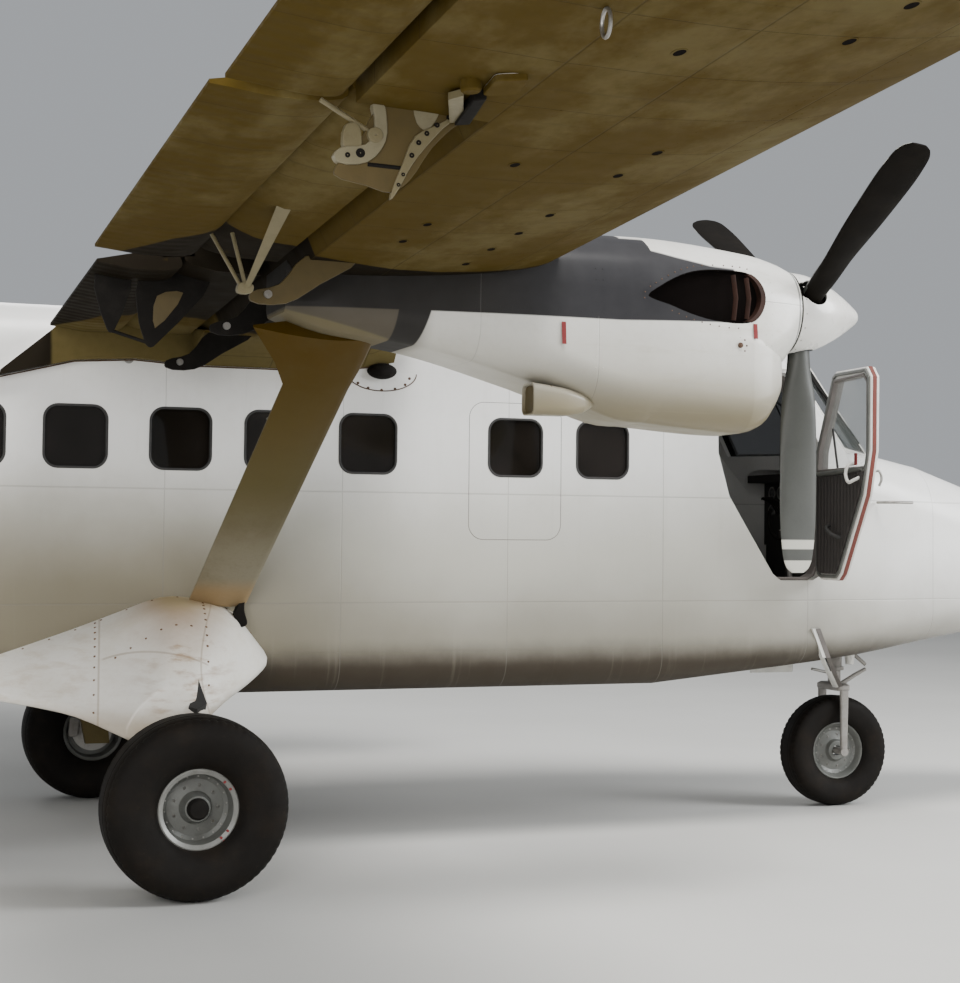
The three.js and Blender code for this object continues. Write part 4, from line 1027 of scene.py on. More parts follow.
def front_doors():
    """The two cockpit doors: skin, seals, window, trim and handles."""
    outline = offset(DOOR, -0.009)
    for side, way in SIDES:
        place = side_place(way)
        def add(name, shape, material, **more):
            obj = hung(to_object(name, shape), way)
            finished(obj, f"{name}_{side}", material, "cockpit_door_unit_" + side, **more)
        def bent(radius, *points):
            return tube(spline([place(*q) for q in points], 6), radius)
        panel = cut(slab(outline, place, -0.058, -0.001), side_prism(DOOR_WINDOW, way * 0.6, way * 1.1))
        add("door_skin", panel, "white", slot="white_paint", replaces=["cockpit_door_" + side], bevel=0.006)
        seal = rim(outline, place, 0.0025, 0.002, -0.044, -0.018)
        add("door_edge_seal", seal, "red", slot="white_paint", bevel=0.002)
        inside = rim(outline, place, -0.010, 0.030, -0.068, -0.056)
        add("door_inner_rim", inside, "rim", slot="white_paint", bevel=0.003)
        add("door_window_rim", rim(DOOR_WINDOW, place, 0.010, 0.004, -0.066, 0.003), "jamb", bevel=0.003)
        pane = slab(offset(DOOR_WINDOW, -0.002), place, -0.040, -0.034)
        paint = "clear" if way < 0 else "screen"
        add("door_window_pane", pane, paint, slot="window", replaces=["cockpit_door_glass_" + side])
        lower = [(3.925, 2.115), *[q for q in offset(DOOR, -0.045) if q[1] < 2.05], (3.315, 2.135)]
        trim = slab(sorted_outline(lower), place, -0.076, -0.058)
        add("door_trim_panel", trim, "trim", slot="dark_panel", bevel=0.006)
        add("door_rail", tube([place(3.925, 2.13, -0.07), place(3.345, 2.15, -0.07)], 0.013), "rim")
        bar = [place(3.70, 2.165, -0.045), place(3.765, 2.40, -0.045)]
        add("door_window_bar", tube(bar, 0.007), "rubber")
        add("door_grip", bent(
            0.010, (3.44, 2.18, -0.066), (3.435, 2.17, -0.11), (3.44, 2.12, -0.125),
            (3.40, 2.07, -0.125), (3.375, 2.08, -0.11), (3.37, 2.10, -0.068),
        ), "white")
        add("door_pull", bent(
            0.011, (3.74, 1.82, -0.075), (3.71, 1.81, -0.115), (3.63, 1.77, -0.12), (3.60, 1.75, -0.075),
        ), "rubber")
        tag = [(3.40, 2.17), (3.43, 2.17), (3.43, 2.24), (3.40, 2.24)]
        add("door_tag", slab(tag, place, -0.075, -0.070), "tag")
        add("door_outer_handle", bent(
            0.008, (3.35, 2.13, 0.0), (3.35, 2.135, 0.045), (3.35, 2.09, 0.06), (3.35, 2.05, 0.045),
        ), "steel")
        heads = [place(x, z, 0.003) for x, z in along_outline(offset(DOOR_WINDOW, 0.006), 0.06)]
        add("door_window_screws", domes(heads, (0, way, 0), 0.005), "steel")
        add("door_hinge_pins", upright_pins(
            place, DOOR_HINGE - 0.002, (1.62, 2.12), 0.05, 0.004, 0.006), "steel")


def cabin_solid(reach):
    """The cabin's outside as one solid, used to end a form at its skin."""
    return body([cabin_row(reach), cabin_row(0.0), cabin_row(-reach)], 3, -GAP)


def ring_band(low, high):
    """The cabin tube's wall between two heights, as one closed band from side to side."""
    at_belly = low < BELLY
    edge = high if at_belly else low
    def clip(half, floor, ceiling, low_r, high_r):
        kept = [q for q in rounded(-half, half, floor, ceiling, low_r, high_r, 14) if low <= q[1] <= high]
        kept += [(half, edge), (-half, edge)]
        return sorted(kept, key=lambda q: math.atan2(q[0], 2.0 - q[1] if at_belly else q[1] - 1.5))
    outer = clip(HALF, BELLY, ROOF, *CABIN_CORNERS)
    inner = clip(HALF - WALL, BELLY + WALL, ROOF - WALL, 0.10, 0.18)
    section = outer + inner[::-1]
    return loft([[(x, y, z) for y, z in section] for x in (CABIN_REAR, CABIN_FRONT - GAP)])


def cabin_forms():
    """Roof, belly, the two sides with their windows and rear doors, and the starboard exit."""
    white_skin("roof_skin", ring_band(ROOF_SPLIT, 4.0), "cabin_roof")
    white_skin("belly_skin", ring_band(0.0, BELLY_SPLIT), "cabin_belly")
    front, low, high = CABIN_FRONT - GAP, BELLY_SPLIT + GAP, ROOF_SPLIT - GAP
    corners = [(CABIN_REAR, low), (front, low), (front, high), (CABIN_REAR, high)]
    for side, way in SIDES:
        place = side_place(way)
        holes = [window_outline(x) for x in WINDOWS]
        holes += [exit_outline() if way < 0 else window_outline(EXIT[0]), rear_door_outline(side)]
        skin = cut(slab(corners, place, -WALL, 0.0), *[side_prism(h, way * 0.7, way * 1.2) for h in holes])
        white_skin("side_skin_" + side, skin, "cabin_side_" + side)
        frame_windows(side, place)
        rear_door(side, place, way)
        material_of("cabin_glass_" + side, "glass")
    place = side_place(-1)
    window = side_prism(window_outline(EXIT[0]), -0.7, -1.2)
    panel = cut(slab(offset(exit_outline(), -0.003), place, -WALL, 0.0), window)
    white_skin("exit_skin", panel, "emergency_exit", bevel=0.0015)
    seam = rim(offset(exit_outline(), 0.001), place, 0.0, 0.005, -0.012, -0.0012)
    piece("exit_seam", seam, "jamb", slot="dark_panel")


def frame_windows(side, place):
    """Gaskets and panes for a side's windows."""
    gaskets, panes = [], []
    for x in (*WINDOWS, EXIT[0]):
        outline = window_outline(x)
        gaskets.append(rim(outline, place, 0.004, 0.009, -0.03, 0.003))
        panes.append(slab(offset(outline, -0.003), place, -0.021, -0.014))
    piece("window_gaskets_" + side, together(*gaskets), "rubber", slot="dark_panel", bevel=0.002)
    piece("window_panes_" + side, together(*panes), "glass", slot="window")


def rear_door(side, place, way):
    """A rear door with its window and handle, and the hinges beside it."""
    carrier = "rear_door_unit_" + side
    rear, front = REAR_DOOR[side][:2]
    pane = window_outline((rear + front) / 2, 2.09, 0.30, 0.30)
    panel = slab(offset(rear_door_outline(side), -0.009), place, -0.06, 0.0)
    panel = cut(panel, side_prism(pane, way * (HALF - 0.05), way * 1.0))
    def add(name, shape, material, **more):
        piece(f"rear_door_{name}_{side}", shape, material, carrier, **more)
    white_skin("rear_door_skin_" + side, panel, "rear_door_" + side, carrier, bevel=0.003)
    add("pane", slab(offset(pane, -0.002), place, -0.022, -0.015), "glass", slot="window")
    add("gasket", rim(pane, place, 0.004, 0.009, -0.03, 0.003), "rubber", bevel=0.002)
    handle = tube([place(rear + 0.10, 1.86, 0.012), place(rear + 0.24, 1.86, 0.012)], 0.010, flat=0.6)
    plate = slab(rounded(rear + 0.08, rear + 0.27, 1.82, 1.90, 0.03, 0.03), place, -0.001, 0.003)
    add("handle", together(handle, plate), "steel", bevel=0.001)
    pins = upright_pins(place, front + 0.004, (1.5, 1.95, 2.3), 0.09, 0.003, 0.007)
    piece("rear_door_hinges_" + side, pins, "white")


def material_of(node, material):
    """A better material on a CAD node that stays."""
    painted(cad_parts[node].data, material)


def fuselage_rivets():
    """Flush heads along the frames and long seams of the cabin sides, clear of doors and windows."""
    pitch = 0.034
    for side, way in SIDES:
        y = way * HALF
        points = []
        for k in range(13):
            x = CABIN_REAR + FRAME_PITCH * k + 0.012
            points += spaced((x, y, 1.12), (x, y, 2.69), pitch)
        for z in (1.12, 1.36, 1.99, 2.67):
            points += spaced((CABIN_REAR, y, z), (CABIN_FRONT, y, z), pitch)
        corners = [window_outline(x)[0][0] for x in (*WINDOWS, EXIT[0])]
        def clear(x, z):
            at_door = -2.85 < x < -1.97 and z < 2.66
            at_exit = way < 0 and 1.67 < x < 2.275 and 1.70 < z < 2.53
            at_window = 2.07 < z < 2.42 and any(c - 0.33 < x < c + 0.12 for c in corners)
            return not (at_door or at_exit or at_window)
        heads = [q for q in points if clear(q[0], q[2])]
        piece("side_rivets_" + side, domes(heads, (0, way, 0), 0.0042, 0.28, 6, 1), "fuselage")


# Seats, panel and floor

def seat_parts(x, y):
    """One seat's soft parts, and its legs and rails."""
    z, leg = FLOOR_Z, 0.17
    cushion = loft([
        [(x + u, y + v, z + h) for u, v in rounded(-0.24 + i, 0.23 - i, -0.22 + i, 0.22 - i, 0.05, 0.05, 4)]
        for h, i in ((0.335, 0.03), (0.35, 0.006), (0.395, 0.0), (0.425, 0.012), (0.436, 0.05), (0.44, 0.12))
    ])
    rings = []
    for t, w in ((0, 0.86), (0.04, 0.98), (0.3, 1.0), (0.7, 1.0), (0.93, 0.95), (1.0, 0.7)):
        line = rounded(-0.045 * w, 0.045 * w, -0.21 * w, 0.21 * w, 0.03 * w, 0.03 * w, 4)
        rings.append([(x - 0.245 - 0.10 * t + d, y + v, z + 0.44 + 0.68 * t) for d, v in line])
    metal = []
    for a in (-leg, leg):
        for b in (-leg, leg):
            path = (x + a, y + b, z + 0.012), (x + a, y + b, z + 0.30), (x + a * 0.8, y + b, z + 0.33)
            metal.append(tube(spline(path, 3), 0.012, 8))
    metal += [box(x - 0.2, x + 0.2, y + b - 0.012, y + b + 0.012, z + 0.004, z + 0.02) for b in (-leg, leg)]
    return together(cushion, loft(rings)), together(*metal)


def seats():
    places = {
        "cockpit": [(3.38, 0.4), (3.38, -0.4)],
        "cabin": [(x, y) for x in (2.3, 1.53, 0.76, -0.01, -0.78, -1.55) for y in (0.53, -0.53)],
    }
    for room, spots in places.items():
        cushions, metal = zip(*[seat_parts(x, y) for x, y in spots])
        soft = piece(room + "_cushions", together(*cushions), "fabric", slot="seat_cloth", angle=60)
        smooth = soft.modifiers.new("soft", "SUBSURF")
        smooth.levels = smooth.render_levels = 1
        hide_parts(room + "_seats")
        piece(room + "_seat_frames", together(*metal), "grey_paint")


def flight_deck():
    """Dials on the panel, the two control columns and the levers between them."""
    material_of("instrument_panel", "lining")
    x = 4.329 - 0.001
    rings, faces = [], []
    for row, z in enumerate((1.80, 1.93, 2.05)):
        r = 0.045 if row else 0.038
        profile = [(r, -0.006), (r, 0.002), (r * 0.82, 0.002), (r * 0.80, -0.004)]
        for k in range(9):
            y = -0.48 + 0.12 * k
            rings.append(lathe(profile, (x, y, z), 20, "x"))
            round_face = circle(y, z, r * 0.8, 20)
            faces.append(loft([[(x + d, u, v) for u, v in round_face] for d in (-0.003, 0.001)]))
    piece("dial_rings", together(*rings), "steel")
    piece("dial_faces", together(*faces), "dial")
    columns, wheels = [], []
    for y in (0.4, -0.4):
        columns.append(tube(spline([(4.0, y, FLOOR_Z + 0.01), (3.98, y, 1.62), (3.93, y, 1.80)], 5), 0.016))
        arc = [(3.92, y + 0.15 * math.sin(a), 1.86 - 0.12 * math.cos(a)) for a in np.linspace(-2.2, 2.2, 17)]
        wheels += [tube(arc, 0.011), tube([(3.925, y, 1.79), (3.92, y, 1.74)], 0.02)]
    piece("control_columns", together(*columns), "grey_paint")
    piece("control_wheels", together(*wheels), "black")
    across = (-0.06, -0.03, 0.0, 0.03, 0.06)
    levers = [tube(spline([(4.15, y, 1.90), (4.10, y, 1.97), (4.04, y, 2.0)], 4), 0.006, 8) for y in across]
    knobs = domes([(4.04, y, 2.0) for y in across], (-0.5, 0, 1), 0.014, 1.0, 10, 4)
    piece("power_levers", together(*levers, knobs), "black")
    material_of("cabin_floor", "floor")


# Tail

def streamlined(nose, tail, half, blunt):
    """A streamlined outline from nose to tail; blunt is the tail's share of the half thickness."""
    shape = [(0, 0), (0.02, 0.38), (0.06, 0.62), (0.14, 0.86), (0.34, 1.0), (0.62, 0.8), (1, blunt)]
    side = [(nose + (tail - nose) * u, half * v) for u, v in spline(shape, 4)]
    return side + [(x, -v) for x, v in side[:0:-1]]


def upright(z, nose, tail, half, blunt):
    return [(x, y, z) for x, y in streamlined(nose, tail, half, blunt)]


def level(y, z, nose, tail, half, blunt):
    return [(x, y, z + v) for x, v in streamlined(nose, tail, half, blunt)]


# A pair in these tables holds the value at the root and the one at the tip
FIN = {"nose": (-6.35, -7.48), "hinge": -8.39, "root": 2.83, "tip": 5.94, "half": (0.095, 0.055)}
RUDDER = {"low": 2.42, "nose": FIN["hinge"] - 0.028, "tail": (-9.29, -9.15)}
STABILISER = {"z": 3.18, "half": 3.15, "nose": -6.93, "hinge": -7.85, "tail": -8.36, "thick": 0.085}
ELEVATOR_AXIS = STABILISER["hinge"] - 0.069


def rudder_at(z):
    """The rudder's tail station and its half thickness at a height."""
    t = (z - RUDDER["low"]) / (FIN["tip"] - RUDDER["low"])
    return part_way(RUDDER["tail"], t), 0.052 - 0.018 * t


def rudder_side(x, z):
    """Half thickness of the rudder at a place on its side."""
    tail, half = rudder_at(z)
    share = (RUDDER["nose"] - x) / (RUDDER["nose"] - tail)
    return half * np.interp(share, [0, 0.14, 0.34, 0.62, 1], [0, 0.86, 1.0, 0.8, 0.12])


def tail_forms():
    hatch = rounded(-0.3, 0.3, FLOOR_Z + 0.06, 2.4, 0.06, 0.06)
    hatch = loft([[(x, y, z) for y, z in hatch] for x in (-2.85, -3.0)])
    inner = body([(CABIN_REAR - 0.04, *TAIL[0][1:]), *TAIL[1:-1]], 20, 0.024)
    white_skin("tail_skin", cut(body(TAIL, 30), inner, hatch), "tail_cone")
    fin_forms()
    tailplane_forms()
    beacon = [(0.0, 0.0), (0.045, 0.0), (0.043, 0.02), (0.03, 0.045), (0.0, 0.055)]
    piece("fin_beacon", lathe(beacon, (-7.9, 0, FIN["tip"] - 0.058), 24, "z"), "lamp_red")


def fin_forms():
    """The fin with room for the tailplane, and the ribbed rudder."""
    f, s = FIN, STABILISER
    def fin_ring(z):
        t = (z - f["root"]) / (f["tip"] - f["root"])
        return upright(z, part_way(f["nose"], t), f["hinge"], part_way(f["half"], t), 0.55)
    def rudder_ring(z):
        return upright(z, RUDDER["nose"], *rudder_at(z), 0.12)
    form = loft([fin_ring(z) for z in (f["root"], 3.6, 4.4, 5.2, f["tip"] - 0.02, f["tip"])])
    low, high = s["z"] - s["thick"] - 0.002, s["z"] + s["thick"] + 0.002
    seat = box(s["hinge"] - 0.002, s["nose"] + 0.015, -0.4, 0.4, low, high)
    way = tube([(ELEVATOR_AXIS, y, s["z"]) for y in (-0.4, 0.4)], 0.06, 20)
    white_skin("fin_skin", cut(form, seat, way), "fin", bevel=0.003)
    notch = box(-8.70, -8.2, -0.26, 0.26, 2.0, ROOF - 0.06)
    rudder = cut(loft([rudder_ring(z) for z in (RUDDER["low"], 3.2, 4.2, 5.2, f["tip"] - 0.012)]), notch)
    carrier = "rudder_unit"
    white_skin("rudder_skin", rudder, "rudder", carrier, bevel=0.002)
    beads = []
    for z in np.arange(2.75, 5.85, 0.22)[1:]:
        for way in (1, -1):
            line = [(x, way * (rudder_side(x, z) + 0.004)) for x in np.linspace(-8.55, -9.05, 8)]
            line += [(x, way * (rudder_side(x, z) - 0.003)) for x in np.linspace(-9.05, -8.55, 8)]
            beads.append(loft([[(x, y, z + d) for x, y in line] for d in (-0.008, 0.008)]))
    piece("rudder_beads", together(*beads), "fuselage", carrier, bevel=0.002)


def tailplane_forms():
    """The tailplane, the elevator on its bar, and the dark boots along the nose."""
    s = STABILISER
    tip, z = s["half"], s["z"]
    rings = []
    for y in (-tip, -tip + 0.03, -1.5, 0, 1.5, tip - 0.03, tip):
        inset, share = (0.03, 0.8) if abs(y) == tip else (0, 1)
        rings.append(level(y, z, s["nose"] - inset, s["hinge"], s["thick"] * share, 0.6))
    white_skin("tailplane_skin", loft(rings), "tailplane")
    nose = s["hinge"] - 0.024
    half = loft([level(y, z, nose, s["tail"], 0.042, 0.15) for y in (0.15, 1.2, 2.2, tip - 0.005)])
    bar = tube([(ELEVATOR_AXIS, y, z) for y in (-0.2, 0.2)], 0.03, 20)
    white_skin("elevator_skin", together(both(half), bar), "elevator", "elevator_unit")
    thick = s["thick"] * 0.62 + 0.001
    boot = loft([level(y, z, s["nose"] + 0.002, s["nose"] - 0.07, thick, 1.0) for y in (0.2, tip - 0.03)])
    piece("tailplane_boots", both(boot), "boot", slot="dark_panel")


# Wing: its outlines are in shares of the chord, behind the nose and above the chord line

WING_TOP = [
    (0, 0), (0.012, 0.028), (0.05, 0.06), (0.12, 0.086), (0.25, 0.102), (0.42, 0.098), (0.62, 0.072),
    (0.79, 0.041),
]
WING_LOW = [(0.6, -0.048), (0.4, -0.058), (0.15, -0.05), (0.04, -0.03), (0.01, -0.014)]
SHROUD = [(0.795, 0.036), (0.66, 0.03), (0.625, 0.005)]
PLAIN_REAR = [(0.812, 0.037), (0.81, -0.028), (0.70, -0.038)]
TIP_REAR = [(0.99, 0.006), (0.99, -0.002), (0.78, -0.028)]
FLAP_FORE = [
    (0.642, -0.03), (0.66, 0.012), (0.71, 0.026), (0.8, 0.026), (0.812, 0.01), (0.806, -0.002),
    (0.74, -0.022),
]
FLAP_WEB = [(0.79, 0.022), (0.86, 0.014), (0.86, 0.006), (0.79, 0.01)]
FLAP_TAIL = {"inner": 1, "outer": 1.026}
FLAP_END_GAP = 0.036
AILERON = [
    (1.008, -0.003), (0.86, -0.024), (0.832, -0.018), (0.825, 0.002), (0.832, 0.024), (0.86, 0.028),
    (1.008, 0.003),
]
AILERON_LIP = [(0.795, 0.0372), (0.848, 0.0352), (0.848, 0.0335), (0.795, 0.0340)]
ARM = [
    (0.5, -0.05), (0.61, -0.04), (0.665, -0.1), (0.725, -0.118), (0.725, -0.135), (0.65, -0.14), (0.58, -0.1),
]
ARM_PLACES = [1.25, 2.45, 3.3]
# The fillet under the wing root: station, height at the fuselage, reach along the wing and its height
ROOT_FILLET = [
    (1.25, 2.70, 1.06, 2.85), (1.0, 2.655, 1.25, 2.815), (0.6, 2.64, 1.30, 2.785), (0.12, 2.64, 1.30, 2.785),
]
# The fillet's tail, seen from the side
ROOT_TAIL = [
    (0.13, 2.64), (-0.17, 2.66), (-0.48, 2.64), (-0.86, 2.545), (-0.85, 2.575), (-0.60, 2.79), (-0.56, 2.83),
    (0.13, 2.86),
]
# Small round plates under the wing, on two lines behind the nose
OVALS = {
    0.269: (6.906, 6.597, 5.353, 5.026, 4.372, 4.032, 3.705, 3.376, 7.9, 8.2, 9.1),
    0.474: (5.108, 4.136, 3.809, 6.4, 7.4, 8.4),
}


def flap_rear(tail):
    middle = [(0.9, -0.022), (0.818, -0.014), (0.822, 0.008), (0.84, 0.018), (0.9, 0.017)]
    return [(tail, -0.005), *middle, (tail, 0.001)]


def wing_point(y, along, above):
    """A point at a span, from shares of the chord behind the nose and above the chord line."""
    height = WING_NOSE_Z + DIHEDRAL * abs(y) - along * CHORD * INCIDENCE + above * CHORD
    return (WING_NOSE - along * CHORD, y, height)


def wing_ring(y, outline, thin=1.0):
    return [wing_point(y, a, b * thin) for a, b in outline]


def wing_panel(outline, *spans):
    return loft([wing_ring(y, outline) for y in spans])


UNDERSIDE = sorted(q for q in spline(WING_LOW + WING_TOP, 4) if q[1] <= 0)


def under(along):
    """How far the wing's underside lies below its chord line, as a share of the chord."""
    return np.interp(along, [q[0] for q in UNDERSIDE], [q[1] for q in UNDERSIDE])


def over(along):
    return np.interp(along, [r[0] for r in WING_TOP], [r[1] for r in WING_TOP])


def on_wing(x, y, below):
    """A point below the wing's underside, at a station and span."""
    along = (WING_NOSE - x) / CHORD
    x, y, z = wing_point(y, along, under(min(along, 0.62)))
    return (x, y, z - below)


def root_fillet():
    """The fillet's four rows drawn smoothly from its front to its rear, its lower face hollow."""
    rows = sorted(ROOT_FILLET)
    stations = np.linspace(rows[0][0], rows[-1][0], 16)
    rings = []
    sections = monotone([r[0] for r in rows], [r[1:] for r in rows], stations)
    for x, (low, reach, high) in zip(stations, sections):
        line = [(x, 0.8, low)]
        for t in np.linspace(0, 1, 9):
            height = part_way((low, high), t) + 0.02 * math.sin(math.pi * t)
            line.append((x, part_way((HALF, reach), t), height))
        rings.append([*line, (x, 0.8, high + 0.06)])
    return loft(rings)


def wing_forms():
    """Wing panels, flaps and ailerons; the panels end at the cabin and the windscreen."""
    nose = spline(WING_LOW + WING_TOP, 4)
    cove, full, tip = (nose + rear for rear in (SHROUD, PLAIN_REAR, TIP_REAR))
    rings = [wing_ring(y, cove) for y in (0.002, 2.0, 4.0, AILERON_ROOT)]
    rings += [wing_ring(y, full) for y in (AILERON_ROOT, 7.5, AILERON_TIP)]
    tip_rows = ((AILERON_TIP, 1), (9.83, 1), (9.88, 0.9), (SEMI_SPAN, 0.66))
    rings += [wing_ring(y, tip, thin) for y, thin in tip_rows]
    screen_part = cut(body([(2.0, *HIGH[-1][1:]), *HIGH[::-1]], 12, -GAP), ahead_of_screen(-GAP))
    skin = combined(to_object("wing", loft(rings)), [
        ("UNION", root_fillet()), ("UNION", side_prism(ROOT_TAIL, 0.8, FLAP_ROOT - 0.008)),
        ("DIFFERENCE", cabin_solid(3.2)), ("DIFFERENCE", screen_part),
    ])
    pair("wing_skin", skin, "wing", slot="shaded_paint", replaces=["wing_{}"], angle=30)
    flaps = ("inner", FLAP_ROOT, FLAP_BREAK[0]), ("outer", FLAP_BREAK[1], AILERON_ROOT - FLAP_END_GAP)
    for name, *ends in flaps:
        sections = (spline(FLAP_FORE, 5), FLAP_WEB, spline(flap_rear(FLAP_TAIL[name]), 5))
        form = together(*[wing_panel(section, *ends) for section in sections])
        nodes = ["flap_" + name + "_{}"]
        pair("flap_skin_" + name, form, "flap", "flap_unit_{}", slot="shaded_paint", replaces=nodes)
    aileron = wing_panel(spline(AILERON, 4), AILERON_ROOT + 0.014, 7.5, AILERON_TIP - 0.014)
    pair("aileron_skin", aileron, "flap", "aileron_unit_{}", slot="shaded_paint", replaces=["aileron_{}"])
    wing_details()
    flap_brackets()


def wing_details():
    """Round plates, rivets, tie-down rings, a bump and the tip lamps."""
    plates, rims = [], []
    oval = circle(0, 0, 0.015, 24, other=0.030)
    for along, spans in OVALS.items():
        for y in spans:
            x, _, z = wing_point(y, along, under(along))
            def flat(u, v, h):
                return (x + u, y + v, z - h + DIHEDRAL * v)
            plates.append(slab(oval, flat, -0.004, 0.0012))
            rims.append(rim(oval, flat, 0.006, 0.0, -0.004, 0.0015))
    # Near-black plates: painted shade standing for the insides of the drain holes.
    pair("drain_holes", together(*plates), "pipe")
    pair("drain_rims", together(*rims), "wing", slot="shaded_paint")
    places = []
    for along in (0.13, 0.17, 0.262, 0.40, 0.44, 0.52, 0.595):
        places += [(y, along) for y in np.arange(1.0, 9.75, 0.052 if along in (0.17, 0.44) else 0.07)]
    places += [(y, along) for y in np.arange(1.415, 9.8, RIB_PITCH) for along in np.arange(0.10, 0.60, 0.022)]
    heads = [wing_point(y, along, under(along)) for y, along in places]
    heads = [q for q in heads if not (abs(q[1] - ENGINE_Y) < 0.36 and q[0] > 0.1)]
    pair("wing_under_rivets", domes(heads, (0, -DIHEDRAL, -1), 0.0052, 0.3, 6, 1), "wing")
    places = [(y, along) for along in (0.12, 0.2, 0.42, 0.62, 0.76) for y in np.arange(1.0, 9.75, 0.06)]
    heads = [wing_point(y, along, over(along)) for y, along in places]
    pair("wing_top_rivets", domes(heads, (0, 0, 1), 0.0045, 0.3, 6, 1), "wing")
    x, y, z = wing_point(6.653, 0.635, under(0.6) - 0.002)
    ring = spline([(x, u, v) for u, v in circle(y, z - 0.030, 0.028, 14, other=0.036)], 3, closed=True)
    pair("tie_down_ring", tube(ring + ring[:1], 0.0055, 8), "steel")
    rings = []
    for h, i in ((-0.01, 0.0), (0.009, 0.0), (0.012, 0.006)):
        corners = (0.05 + i, 5.87 + i), (0.15 - i, 5.90 + i), (0.125 - i, 6.06 - i), (0.035 + i, 6.03 - i)
        rings.append([on_wing(x, y, h) for x, y in softened(corners, 0.2)])
    levels = ((-0.03, 0.030), (0.010, 0.030), (0.016, 0.024))
    knob = [[on_wing(x, y, h) for x, y in circle(0.0, 5.92, r, 24)] for h, r in levels]
    pair("wing_bump", together(loft(rings), loft(knob)), "wing", bevel=0.002)
    pair("aileron_lip", wing_panel(AILERON_LIP, AILERON_ROOT, AILERON_TIP), "wing", slot="shaded_paint")
    lamp = [(0.0, 0.0), (0.03, 0.0), (0.028, 0.03), (0.015, 0.06), (0.0, 0.068)]
    x, y, z = wing_point(SEMI_SPAN - 0.06, 0.06, 0.02)
    for side, way in SIDES:
        colour = "lamp_red" if way > 0 else "lamp_green"
        piece("tip_lamp_" + side, lathe(lamp, (x, way * y, z), 20, "x"), colour)


def holes_in(places, y, half, radius):
    """Discs on both faces of an upright plate at y, standing for round holes; painted black, they are painted
    shade.
    """
    return [disc(x, y, z, radius, half) for x, z in places]


def plate_between(outline, y, half):
    """An upright plate with rounded corners, half its thickness each side of y."""
    return side_prism(spline(outline, 3, closed=True), y - half, y + half)


def flap_brackets():
    """Arms, links and rods that carry the flaps."""
    inner, middle, outer = [
        plate_between([wing_point(y, a, b)[::2] for a, b in ARM], y, 0.012) for y in ARM_PLACES
    ]
    pair("flap_arms", outer, "brown", slot="shaded_paint", bevel=0.002)
    pair("inboard_arm", together(inner, middle), "black", slot="dark_panel", bevel=0.002)
    bolts = [disc(*wing_point(y, 0.69, -0.122), 0.017, 0.026) for y in ARM_PLACES]
    pair("arm_bolts", together(*bolts), "steel")
    y, carrier = 2.47, "flap_unit_{}"
    fitting = [(-0.39, 2.90), (-0.07, 2.90), (-0.30, 2.60), (-0.338, 2.568), (-0.365, 2.59)]
    pair("inboard_fitting", plate_between(fitting, y, 0.007), "black", carrier, bevel=0.001)
    # A brown plate in the fitting's triangular hole: painted shade seen through it.
    window = plate_between([(-0.315, 2.80), (-0.20, 2.82), (-0.322, 2.655)], y, 0.0085)
    pair("inboard_fitting_window", window, "brown", carrier)
    link = [(-0.586, 2.90), (-0.43, 2.90), (-0.498, 2.64), (-0.514, 2.626), (-0.53, 2.64)]
    bar = tube([(-0.514, y, 2.636), (-0.338, y, 2.585)], 0.008, 8)
    pair("inboard_link", together(plate_between(link, y, 0.007), bar), "black", carrier, bevel=0.001)
    rods = [[(-0.27, 3.50, 2.93), (-0.165, 3.59, 2.71)], [(-0.20, 3.56, 2.93), (-0.150, 3.60, 2.71)]]
    pair("middle_rods", together(*[tube(rod, 0.008, 10) for rod in rods]), "pale", carrier)
    rings = []
    for a, b, y, z in ((-0.130, -0.070, 4.05, 2.975), (-0.163, -0.143, 3.60, 2.70)):
        low, high = z - 0.004, z + 0.004
        rings.append([(a, y, low), (b, y, low), (b, y + 0.012, high), (a, y + 0.012, high)])
    block = plate_between([(-0.185, 2.69), (-0.13, 2.69), (-0.125, 2.72), (-0.18, 2.725)], 3.60, 0.02)
    pair("middle_plates", together(loft(rings), block), "pale", carrier, bevel=0.003)
    # Black discs: painted shade where the bracket has holes.
    pair("arm_holes", together(*outer_bracket()), "black")


